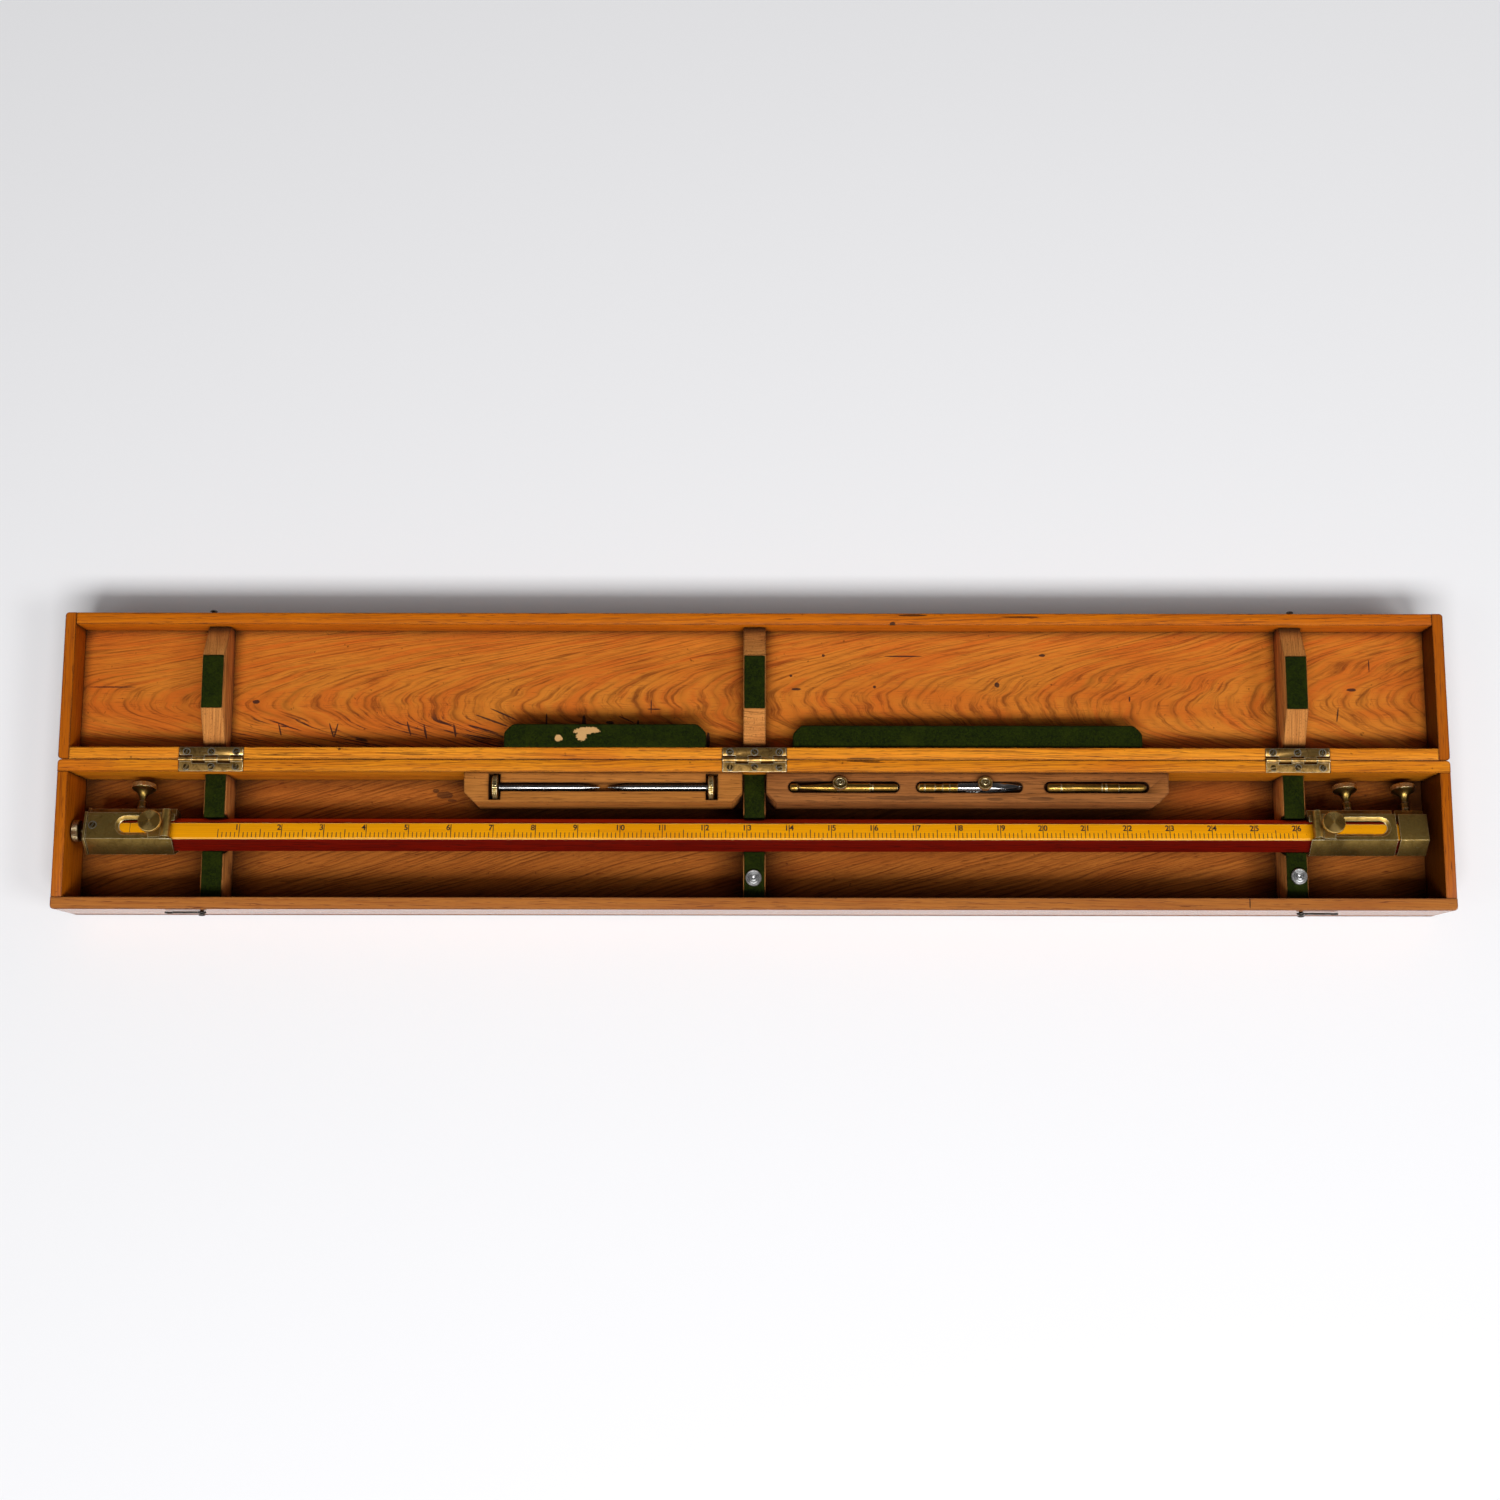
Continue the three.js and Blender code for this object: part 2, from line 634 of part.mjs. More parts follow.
// The reading window: round at its outer end, square under the disc screw, bevelled all round
function windowCutter(roundEnd, squareEnd) {
  const r = windowWidth / 2;
  const shape = new THREE.Shape();
  const away = Math.sign(roundEnd - squareEnd);
  shape.moveTo(squareEnd, windowMiddle - away * r);
  shape.lineTo(roundEnd - away * r, windowMiddle - away * r);
  shape.absarc(roundEnd - away * r, windowMiddle, r, (-away * Math.PI) / 2, (away * Math.PI) / 2);
  shape.lineTo(squareEnd, windowMiddle + away * r);
  const through = upwards(shape, plateUnder - headWall, plateTop + overrun);
  const bevel = new THREE.ExtrudeGeometry(shape, {
    depth: overrun, bevelThickness: headWall, bevelSize: windowBevel, bevelSegments: 1, curveSegments: 12,
  }).translate(0, 0, plateTop);
  return [through, bevel];
}

// The rolled tube and its tail, one plate bent round the point and held down by the disc screw
function socket(tubeX, screwX) {
  const away = Math.sign(screwX - tubeX);
  const axisW = tubeAxis();
  const tube = rod(tubeRadius, tubeFront, tubeBack, 'y', 20).translate(tubeX, 0, axisW);
  const tailEnds = [tubeX, screwX + away * socketTail].sort((a, b) => a - b);
  const under = plateTop + looseGap;
  const tail = block(tailEnds, [socketFront, socketBack], [under, under + socketPlate]);
  const bore = rod(tubeBore, tubeFront - overrun, tubeBack + overrun, 'y', 20).translate(tubeX, 0, axisW);
  return cut(join(tube, tail), bore, socketHole(screwX));
}

function socketHole(x) {
  const hole = rod(socketThreadRadius + looseGap, 0, plateTop + overrun, 'z');
  return hole.translate(x, socketLine, 0);
}

function tubeAxis() {
  return plateUnder - beamClearance + looseGap + tubeRadius;
}

function socketScrew() {
  const shoulder = plateTop + looseGap + socketPlate + looseGap;
  const under = shoulder + socketNeckLength;
  const top = under + socketDiscThickness;
  return turned([
    [plateUnder, 0], [plateUnder, socketThreadRadius], [shoulder, socketThreadRadius],
    [shoulder, socketNeckRadius], [under, socketNeckRadius], [under, socketDiscRadius],
    [top, socketDiscRadius], [top, 0],
  ], 'z', 32);
}

// A thumbscrew on the V axis: a collar, a narrow neck, and a disc with a flared back
function clampScrew(tip) {
  const collarFrom = ribBack + looseGap;
  const collarTo = collarFrom + clampCollarLength;
  const discFrom = collarTo + clampNeckRadius / 2 + clampFlareLength;
  const discTo = discFrom + clampDiscThickness;
  const flareShares = [[0, 0], [0.2, 0.04], [0.45, 0.24], [0.75, 0.6], [0.93, 0.84]];
  const flare = flareShares.map(([along, out]) => [
    discFrom - clampFlareLength * (1 - along), clampNeckRadius + (clampDiscRadius - clampNeckRadius) * out,
  ]);
  return turned([
    [tip, 0], [tip, clampThreadRadius], [collarFrom, clampThreadRadius], [collarFrom, clampCollarRadius],
    [collarTo, clampCollarRadius], ...flare,
    [discFrom, clampDiscRadius], [discTo, clampDiscRadius], [discTo, 0],
  ], 'y', 28);
}

// The strip with a V groove that the clamp screw presses on the beam's back corner
function shoe(x) {
  const [corner, topBack] = hexagon(beamClearance);
  const slope = (corner[0] - topBack[0]) / topBack[1];
  const edge = corner[0] - slope * shoeHalf;
  const outline = [
    [corner[0], 0], [edge, -shoeHalf], [shoeBack, -shoeHalf], [shoeBack, shoeHalf], [edge, shoeHalf],
  ];
  return alongX(outline, x - shoeLength / 2, x + shoeLength / 2);
}

function shoePocket(x) {
  const half = shoeLength / 2 + looseGap;
  const tall = shoeHalf + looseGap;
  return block([x - half, x + half], [0, shoeBack + looseGap], [-tall, tall]);
}

function clampHole(x) {
  return rod(clampThreadRadius + looseGap, 0, ribBack + overrun, 'y').translate(x, 0, 0);
}

function addHead(name, x0, x1, tubeX, screwX, clampX, windowEnd) {
  const away = Math.sign(screwX - tubeX);
  const gap = looseGap;
  const tubeRoom = block(
    away > 0 ? [x0 - overrun, tubeX + tubeRadius + gap] : [tubeX - tubeRadius - gap, x1 + overrun],
    [tubeFront - gap, tubeBack + gap], [plateUnder - overrun / 4, plateTop + overrun]);
  const cutters = [
    tubeRoom, socketHole(screwX), shoePocket(clampX), clampHole(clampX),
    ...windowCutter(windowEnd, screwX + away * windowToScrew),
  ];
  place(`${name}_head_body`, cut(sleeve(x0, x1), ...cutters), 'brass', compass);
  place(`${name}_shoe`, shoe(clampX), 'brass', compass);
  place(`${name}_clamp_screw`, clampScrew(shoeBack + gap).translate(clampX, 0, 0), 'brass', compass);
  place(`${name}_socket`, socket(tubeX, screwX), 'brass', compass);
  place(`${name}_socket_screw`, socketScrew().translate(screwX, socketLine, 0), 'brass', compass);
}

function addLeftEnd() {
  const grown = (size) => size + Math.sign(size) * endPlateLip;
  const outline = headOutline().map((point) => point.map(grown));
  const hole = rod(adjustRadius + looseGap, endPlateOuter - overrun, endPlateInner + overrun, 'x')
    .translate(0, adjustV, adjustW);
  place('left_end_plate', cut(alongX(outline, endPlateOuter, endPlateInner), hole), 'brass', compass);

  const discTo = adjustOuter + adjustDiscThickness;
  const shoulder = endPlateOuter - looseGap;
  const collar = endPlateInner + looseGap;
  const collarTo = collar + adjustCollarLength;
  const end = collarTo + adjustReach;
  place('adjusting_screw', turned([
    [adjustOuter, 0], [adjustOuter, adjustDiscRadius], [discTo, adjustDiscRadius], [discTo, adjustRadius],
    [shoulder - adjustCollarLength, adjustRadius], [shoulder - adjustCollarLength, adjustCollarRadius],
    [shoulder, adjustCollarRadius], [shoulder, adjustRadius],
    [collar, adjustRadius], [collar, adjustCollarRadius], [collarTo, adjustCollarRadius],
    [collarTo, adjustRadius], [end, adjustRadius], [end, 0],
  ], 'x', 28).translate(0, adjustV, adjustW), 'brass', compass);
}

function addEndBlock() {
  const blind = alongX(hexagon(beamClearance), endBlockInner - overrun, endBlockOuter - headWall);
  const whole = alongX(headOutline(), endBlockInner, endBlockOuter);
  const middle = (endBlockInner + endBlockOuter) / 2;
  place('end_block', cut(whole, blind, clampHole(middle)), 'brass', compass);
  const [corner] = hexagon(beamClearance);
  place('end_block_screw', clampScrew(corner[0]).translate(middle, 0, 0), 'brass', compass);
}

// A point lying in its slots, with the outer face of its disc head at x; side is -1 or 1
function needle(x, side) {
  const rim = needleHeadThickness / 6;
  const inner = needleHeadRadius - rim;
  const geometry = turned([
    [0, 0], [0, inner], [rim, needleHeadRadius], [needleHeadThickness - rim, needleHeadRadius],
    [needleHeadThickness, inner], [needleHeadThickness, needleRadius],
    [needleLength - needleTaper, needleRadius], [needleLength, needleTipRadius], [needleLength, 0],
  ], 'x', 28);
  if (side > 0) geometry.rotateZ(Math.PI);
  return geometry.translate(x, slotLine, needleAxis);
}

function addNeedles() {
  place('needle_point_left', needle(leftNeedle, -1), 'steel');
  place('needle_point_right', needle(rightNeedle, 1), 'steel');
}

// Anything made round a pen's own middle line, tilted with its knob and laid in the slot
function rolled(geometry) {
  return geometry.rotateX(-knobTilt).translate(0, slotLine, penAxis);
}

// A round knob on a thin stem that goes down through what it squeezes
function knob(x) {
  const top = knobFromAxis + knobThickness;
  const round = knobThickness / 3;
  return rolled(turned([
    [-penRadius, 0], [-penRadius, knobStem], [knobFromAxis, knobStem], [knobFromAxis, knobRadius],
    [top - round, knobRadius], [top, knobRadius - round], [top, 0],
  ], 'z', 28).translate(x, 0, 0));
}

function stemHole(x) {
  const far = penRadius + overrun;
  return rod(knobStem + looseGap, -far, far, 'z').translate(x, 0, 0);
}

// A turned piece between two ends, from shares of its length and of the pen's radius
function spindle([from, to], shares) {
  return turned(shares.map(([along, out]) => [from + along * (to - from), out * penRadius]), 'x');
}

function addPens() {
  const holderShares = [
    [0, 0], [0, 0.55], [0.02, 0.85], [0.075, 0.85], [0.095, 0.45], [0.3, 0.85], [0.4, 1], [0.74, 1],
    [0.745, 0.84], [0.97, 0.84], [1, 0.55], [1, 0],
  ];
  const holderKnob = holderEnds[0] + holderKnobFromEnd;
  place('pencil_holder', rolled(cut(spindle(holderEnds, holderShares), stemHole(holderKnob))), 'brass');
  place('pencil_holder_knob', knob(holderKnob), 'brass');

  const shankEnd = penEnds[0] + penShank;
  const shankShares = [
    [0, 0], [0, 0.7], [0.05, 0.93], [0.42, 0.93], [0.44, 0.8], [0.6, 0.8], [0.62, 0.93], [1, 0.93], [1, 0],
  ];
  const shank = spindle([penEnds[0], shankEnd], shankShares);
  const penKnob = penEnds[0] + penKnobFromEnd;
  place('ruling_pen', rolled(cut(join(shank, blades(shankEnd)), stemHole(penKnob))), 'steel');
  place('ruling_pen_knob', knob(penKnob), 'brass');

  const spareShares = [
    [0, 0], [0, 0.75], [0.02, 0.95], [0.28, 0.95], [0.285, 0.88], [0.55, 0.88], [0.555, 1], [0.72, 1],
    [0.725, 0.9], [0.94, 0.9], [0.98, 0.7], [1, 0.35], [1, 0],
  ];
  place('spare_holder', rolled(spindle(spareEnds, spareShares)), 'brass');
}

// Two thin blades one above the other, joined at the shank and pointed at the far end
function blades(from) {
  const to = penEnds[1];
  const half = bladeWidth / 2;
  const root = from - half;
  const { slit, straight, slope, turn, full } = bladeShares;
  const at = (share) => from + (to - from) * share;
  const plan = new THREE.Shape();
  plan.moveTo(root, -half);
  plan.lineTo(at(straight), -half);
  plan.quadraticCurveTo(at(turn), -half * full, to, 0);
  plan.quadraticCurveTo(at(turn), half * full, at(straight), half);
  plan.lineTo(root, half);
  const thick = penRadius * bladeShares.thick;
  const leaf = common(upwards(plan, -thick, thick), rod(penRadius, root - overrun, to + overrun, 'x', 24));
  const gap = block([at(slit), to + overrun], [-bladeWidth, bladeWidth], [-bladeGap / 2, bladeGap / 2]);
  return cut(leaf, gap, ...bladeSlopes(at(slope), to, thick));
}

// What thins the blades towards their points, above and below
function bladeSlopes(from, to, thick) {
  return [-1, 1].map((side) => {
    const shape = new THREE.Shape([
      new THREE.Vector2(from, side * thick), new THREE.Vector2(to, side * bladeGap),
      new THREE.Vector2(to + overrun, side * bladeGap), new THREE.Vector2(to + overrun, side * 2 * penRadius),
      new THREE.Vector2(from, side * 2 * penRadius),
    ]);
    const geometry = new THREE.ExtrudeGeometry(shape, { depth: 2 * bladeWidth, bevelEnabled: false });
    return geometry.translate(0, 0, -bladeWidth).rotateX(Math.PI / 2);
  });
}

function addDiscs() {
  const top = feltTop + discThickness;
  const disc = (x, y) => turned([
    [feltTop, 0], [feltTop, discRadius], [top, discRadius], [top, discPit], [top - discPitDepth, 0],
  ], 'z', 32).translate(x, y, 0);
  const [, middleX, rightX] = supportXs;
  const free = compassY - beamSide * Math.cos(compassTilt) - boxInnerFront;
  const middleY = boxInnerFront + middleDiscShare * free;
  const rightY = boxInnerFront + rightDiscShare * free;
  place('centre_disc_middle', disc(middleX + middleDiscShift, middleY), 'steel');
  place('centre_disc_right', disc(rightX + rightDiscShift, rightY), 'steel');
}

addBox();
addLid();
addSupports();
addPads();
addBlocks();
addHinges();
addHooks();
addBeam();
const leftTube = leftHeadInner - tubeInset;
const rightTube = rightHeadInner + tubeInset;
addHead('left', leftHeadOuter, leftHeadInner, leftTube, leftTube - socketScrewFromTube,
  leftHeadInner - leftClampFromInner, leftHeadOuter + leftWindowFromEnd);
addHead('right', rightHeadInner, rightHeadOuter, rightTube, rightTube + socketScrewFromTube,
  rightHeadInner + rightClampFromInner, rightHeadOuter - rightWindowFromEnd);
addLeftEnd();
addEndBlock();
addNeedles();
addPens();
addDiscs();

export default object;
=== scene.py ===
from math import atan2, cos, hypot, pi, radians, sin

import bmesh
import bpy
from mathutils import Matrix, Vector, noise


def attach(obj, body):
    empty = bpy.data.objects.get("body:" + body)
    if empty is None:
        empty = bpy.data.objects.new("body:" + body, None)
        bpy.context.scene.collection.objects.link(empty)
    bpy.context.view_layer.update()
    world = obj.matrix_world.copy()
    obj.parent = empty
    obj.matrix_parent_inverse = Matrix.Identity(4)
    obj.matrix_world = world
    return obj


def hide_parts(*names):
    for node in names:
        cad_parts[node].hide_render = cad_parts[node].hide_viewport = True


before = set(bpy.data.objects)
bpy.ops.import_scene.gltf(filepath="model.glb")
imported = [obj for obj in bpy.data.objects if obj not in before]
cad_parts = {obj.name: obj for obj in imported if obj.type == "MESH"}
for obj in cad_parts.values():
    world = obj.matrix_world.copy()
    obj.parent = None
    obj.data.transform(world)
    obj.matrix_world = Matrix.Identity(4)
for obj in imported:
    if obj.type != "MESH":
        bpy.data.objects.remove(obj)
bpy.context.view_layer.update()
mm = 0.001
shift = Matrix.Translation


def spun(angle, axis):
    return Matrix.Rotation(radians(angle), 4, axis)


def linked(name, data):
    made = bpy.data.objects.new(name, data)
    bpy.context.scene.collection.objects.link(made)
    return made


# Over the open case and a little in front of it: place in mm, angles in degrees
camera = dict(place=(-2.4, -191.3, 1260.7), tilt=9.199, turn=0.073, lens=49.27, sensor=36, far=20)


def makeCamera():
    data = bpy.data.cameras.new("camera")
    data.lens = camera["lens"]
    data.sensor_width = camera["sensor"]
    data.sensor_fit = "HORIZONTAL"
    data.clip_end = camera["far"]
    eye = linked("camera", data)
    turn = spun(camera["tilt"], "X") @ spun(camera["turn"], "Z")
    eye.matrix_world = shift(Vector(camera["place"]) * mm) @ turn
    bpy.context.scene.camera = eye


bench = {"tree": None}  # the node tree being built


# Sets a node's inputs, by a link where the value comes from another node
def fill(node, values):
    for name, value in values.items():
        if isinstance(value, bpy.types.NodeSocket):
            bench["tree"].links.new(value, node.inputs[name])
        else:
            node.inputs[name].default_value = value
    return node


def add(kind, values=None, **settings):
    made = bench["tree"].nodes.new("ShaderNode" + kind)
    for name, value in settings.items():
        setattr(made, name, value)
    return fill(made, values or {})


def calc(operation, a, b=0.0, c=0.0, clamp=False):
    return add("Math", {0: a, 1: b, 2: c}, operation=operation, use_clamp=clamp).outputs[0]


# a times b, with something added where plus is given
def times(a, b, plus=None, clamp=False):
    if plus is None:
        return calc("MULTIPLY", a, b)
    return calc("MULTIPLY_ADD", a, b, plus, clamp)


def most(a, b):
    return calc("MAXIMUM", a, b)


def vector(operation, a, b=(0, 0, 0)):
    made = add("VectorMath", {0: a, 1: b}, operation=operation)
    return made.outputs["Value" if operation in ("LENGTH", "DOT_PRODUCT") else "Vector"]


def scaled(source, factor):
    return add("VectorMath", {0: source, "Scale": factor}, operation="SCALE").outputs["Vector"]


def split(source):
    return add("SeparateXYZ", {0: source}).outputs


def together(**parts):
    return add("CombineXYZ", parts).outputs[0]


# Greys at places from 0 to 1
def ramp(value, stops):
    made = add("ValToRGB", {"Fac": value})
    elements = made.color_ramp.elements
    for element, (place, tone) in ((elements[0], stops[0]), (elements[1], stops[-1])):
        element.position, element.color = place, (tone, tone, tone, 1)
    for place, tone in stops[1:-1]:
        elements.new(place).color = (tone, tone, tone, 1)
    return made.outputs["Color"]


# 0 up to low, 1 from high
def between(value, low, high):
    values = {"Value": value, "From Min": low, "From Max": high}
    return add("MapRange", values, interpolation_type="SMOOTHSTEP").outputs["Result"]


def blend(share, a, b):
    return add("Mix", {0: share, 6: a, 7: b}, data_type="RGBA").outputs[2]


def mixed(share, a, b):
    return add("Mix", {0: share, 2: a, 3: b}, data_type="FLOAT").outputs[0]


def mapped(source, turn=(0, 0, 0), scale=(1, 1, 1)):
    values = {"Vector": source, "Rotation": [radians(a) for a in turn], "Scale": scale}
    return add("Mapping", values).outputs["Vector"]


# Puts a pattern's zero at place, in mm, and turns it there
def centred(source, place, turn=(0, 0, 0)):
    return mapped(vector("SUBTRACT", source, [v * mm for v in place]), turn)


def cloud(source, scale, detail=3.0, roughness=0.55, stretch=(1, 1, 1), distortion=0.0):
    values = {"Vector": mapped(source, scale=stretch), "Scale": scale, "Detail": detail,
              "Roughness": roughness, "Distortion": distortion}
    return add("TexNoise", values).outputs["Fac"]


def lineNoise(value, detail, roughness=0.5):
    values = {"W": value, "Scale": 1.0, "Detail": detail, "Roughness": roughness}
    return add("TexNoise", values, noise_dimensions="1D").outputs["Fac"]


# A vector that wanders round zero
def drift(place, stretch):
    values = {"Vector": mapped(place, scale=stretch), "Scale": 1.0, "Detail": 2.0}
    return vector("SUBTRACT", add("TexNoise", values).outputs["Color"], (0.5, 0.5, 0.5))


# A colour from the 0 to 255 numbers of a picture
def shade(red, green, blue):
    def linear(v):
        v /= 255
        return v / 12.92 if v <= 0.04045 else ((v + 0.055) / 1.055) ** 2.4
    return (linear(red), linear(green), linear(blue), 1)


def tinted(share, body, colour):
    return blend(share, body, shade(*colour))


def normals():
    return add("NewGeometry").outputs["Normal"]


def nodeGroup(name, inputs, outputs):
    tree = bench["tree"] = bpy.data.node_groups.new(name, "ShaderNodeTree")
    for label, start in inputs.items():
        kind = "NodeSocketVector" if start is None else "NodeSocketFloat"
        socket = tree.interface.new_socket(label, in_out="INPUT", socket_type=kind)
        if start is not None:
            socket.default_value = start
    for label in outputs:
        tree.interface.new_socket(label, in_out="OUTPUT", socket_type="NodeSocketFloat")
    return tree, tree.nodes.new("NodeGroupInput").outputs, tree.nodes.new("NodeGroupOutput")


def use(group, values):
    return add("Group", values, node_tree=group).outputs


def newMaterial(name):
    made = bpy.data.materials.new(name)
    made.use_nodes = True
    bench["tree"] = made.node_tree
    return made, made.node_tree.nodes["Principled BSDF"], add("TexCoord").outputs["Object"]


def bump(height, distance, strength=1.0):
    values = {"Height": height, "Distance": distance * mm, "Strength": strength}
    return add("Bump", values).outputs["Normal"]


# Scales per mm along the board, across the rings and round them; rings are the greys of one year
grainSize = dict(
    bend=(0.006, 0.028, 0.028), bendShare=2.0, ripple=(0.03, 0.13, 0.13), rippleShare=0.2, swell=0.09,
    swellReach=5.0, dashes=(0.035, 0.9, 0.1), band=(0.014, 0.6, 0.03), fibre=(0.024, 2.3, 0.05),
    pore=(0.1, 2.4, 2.4), cloud=(0.009, 0.04, 0.04),
    rings=[(0, 0.4), (0.16, 0.08), (0.5, 0.0), (0.72, 0.3), (0.9, 1.0), (1, 0.4)])


# Growth rings round a pith that runs along X and dives by Dive; Pinch narrows their arcs on the way
def makeWoodGrain():
    inputs = {"Vector": None, "Ring": 2.2, "Dive": 0.05, "Wobble": 3.0, "Pinch": 0.0}
    tree, given, out = nodeGroup("woodGrain", inputs, ("Rings", "Band", "Fibre", "Pore", "Cloud"))
    size = grainSize
    place = scaled(given["Vector"], 1 / mm)
    bend = scaled(drift(place, size["bend"]), times(given["Wobble"], size["bendShare"]))
    ripple = scaled(drift(place, size["ripple"]), times(given["Wobble"], size["rippleShare"]))
    bent = vector("ADD", vector("ADD", place, bend), ripple)
    parts = split(bent)
    depth = times(parts["X"], given["Dive"], parts["Z"])
    width = times(parts["Y"], times(parts["X"], given["Pinch"], 1.0))
    radius = vector("LENGTH", together(Y=width, Z=depth))
    swell = lineNoise(times(radius, size["swell"]), 2.0)
    years = calc("DIVIDE", times(swell, size["swellReach"], radius), given["Ring"])
    season = calc("FRACT", years)
    year = add("TexWhiteNoise", {"W": calc("FLOOR", years)}, noise_dimensions="1D").outputs["Value"]
    layer = together(X=parts["X"], Y=radius, Z=parts["Y"])
    dashes = between(cloud(layer, 1, 3, 0.5, size["dashes"]), 0.38, 0.6)
    dark = times(ramp(season, size["rings"]), times(dashes, 0.7, 0.3))
    holes = between(cloud(bent, 1, 1, 0.5, size["pore"]), 0.58, 0.7)
    early = between(season, 0.62, 0.4)  # most pores lie in the early wood
    fill(out, {"Rings": times(dark, times(year, 0.6, 0.4)),
               "Band": between(cloud(layer, 1, 3, 0.65, size["band"]), 0.42, 0.64),
               "Fibre": cloud(layer, 1, 5, 0.72, size["fibre"]),
               "Pore": times(holes, times(early, 0.75, 0.25)),
               "Cloud": cloud(place, 1, 2, 0.5, size["cloud"])})
    return tree


# How far two normals agree, and how open a place is, at the start and at the height of the edge mark and
# of the painted crevice shade
wearAndShadeSize = dict(edge=(0.997, 0.92), crevice=(0.9, 0.25))


# Where edges stand proud, and where crevices and recesses are darkened by ambient occlusion: painted shade
# that also stands for grime
def makeWear():
    tree, given, out = nodeGroup("wearAndShade", {"Reach": 0.002, "Edge": 0.0008}, ("Edge", "CreviceShadeAndGrime"))
    rounded = add("Bevel", {"Radius": given["Edge"]}, samples=3).outputs[0]
    turn = vector("DOT_PRODUCT", rounded, normals())
    near = add("AmbientOcclusion", {"Distance": given["Reach"]}, samples=5).outputs["AO"]
    fill(out, {"Edge": between(turn, *wearAndShadeSize["edge"]),
               "CreviceShadeAndGrime": between(near, *wearAndShadeSize["crevice"])})
    return tree


# Scales per metre; each set of scratches has a turn, a fineness and the noise it starts and ends at
tarnishSize = dict(stain=160, stained=(0.38, 0.66), grain=2600, scratch=60,
                   scratches=[(8, 60, (0.66, 0.74)), (71, 70, (0.68, 0.76))])


# Stains, fingerprints and fine scratches on metal
def makeTarnish():
    tree, given, out = nodeGroup("tarnish", {"Vector": None}, ("Stain", "Scratch", "Grain"))
    place, size = given["Vector"], tarnishSize
    lines = []
    for turn, fine, ends in size["scratches"]:
        streaks = cloud(mapped(place, (0, 0, turn)), size["scratch"], 2, 0.5, (1, fine, fine))
        lines.append(between(streaks, *ends))
    stain = cloud(place, size["stain"], 5, 0.65, distortion=0.6)
    fill(out, {"Stain": between(stain, *size["stained"]), "Scratch": most(*lines),
               "Grain": cloud(place, size["grain"], 2, 0.5)})
    return tree


# Fine rings cut by a tool round the Z axis of the given vector
def makeTurning():
    tree, given, out = nodeGroup("turning", {"Vector": None, "Pitch": 0.25}, ("Height",))
    flat = vector("MULTIPLY", given["Vector"], (1 / mm, 1 / mm, 0))
    rings = calc("DIVIDE", vector("LENGTH", flat), given["Pitch"])
    fill(out, {"Height": lineNoise(rings, 3.0, 0.7)})
    return tree


woodGrain = makeWoodGrain()
wearAndShade = makeWear()
tarnish = makeTarnish()
turning = makeTurning()
print("effects ready")


# Ragged ovals at given x, y and half widths, in mm, with a turn where a fifth number says so
def spotMask(place, spots, ragged):
    mask = None
    fray = times(cloud(place, 420, 3, 0.7), 2 * ragged, -ragged)
    for x, y, rx, ry, *turn in spots:
        spot = centred(place, (x, y, 0), (0, 0, turn[0] if turn else 0))
        spot = mapped(spot, scale=(1 / (rx * mm), 1 / (ry * mm), 0))
        inside = between(calc("ADD", vector("LENGTH", spot), fray), 1.08, 0.9)
        mask = inside if mask is None else most(mask, inside)
    return mask


# Dark stains in the fibre that thicken towards one edge of a box of x and y, in mm, and along it
def strokeMask(place, fibre, stain):
    parts = split(place)
    (x0, x1), (y0, y1) = ([v * mm for v in stain[k]] for k in ("x", "y"))
    soft = stain["soft"] * mm
    inside = times(between(parts["X"], x0, x0 + 3 * soft), between(parts["X"], x1, x1 - soft))
    inside = times(inside, between(parts["Y"], y1, y1 - soft))
    low = calc("ADD", between(parts["Y"], y1, y0), between(parts["X"], x0, x1))
    groups = times(cloud(place, 60, 3, 0.6), 0.3, -0.15)
    reach = calc("ADD", times(low, stain["gather"], fibre), groups)
    return times(between(reach, 0.6, 0.68), times(inside, stain["strength"]))


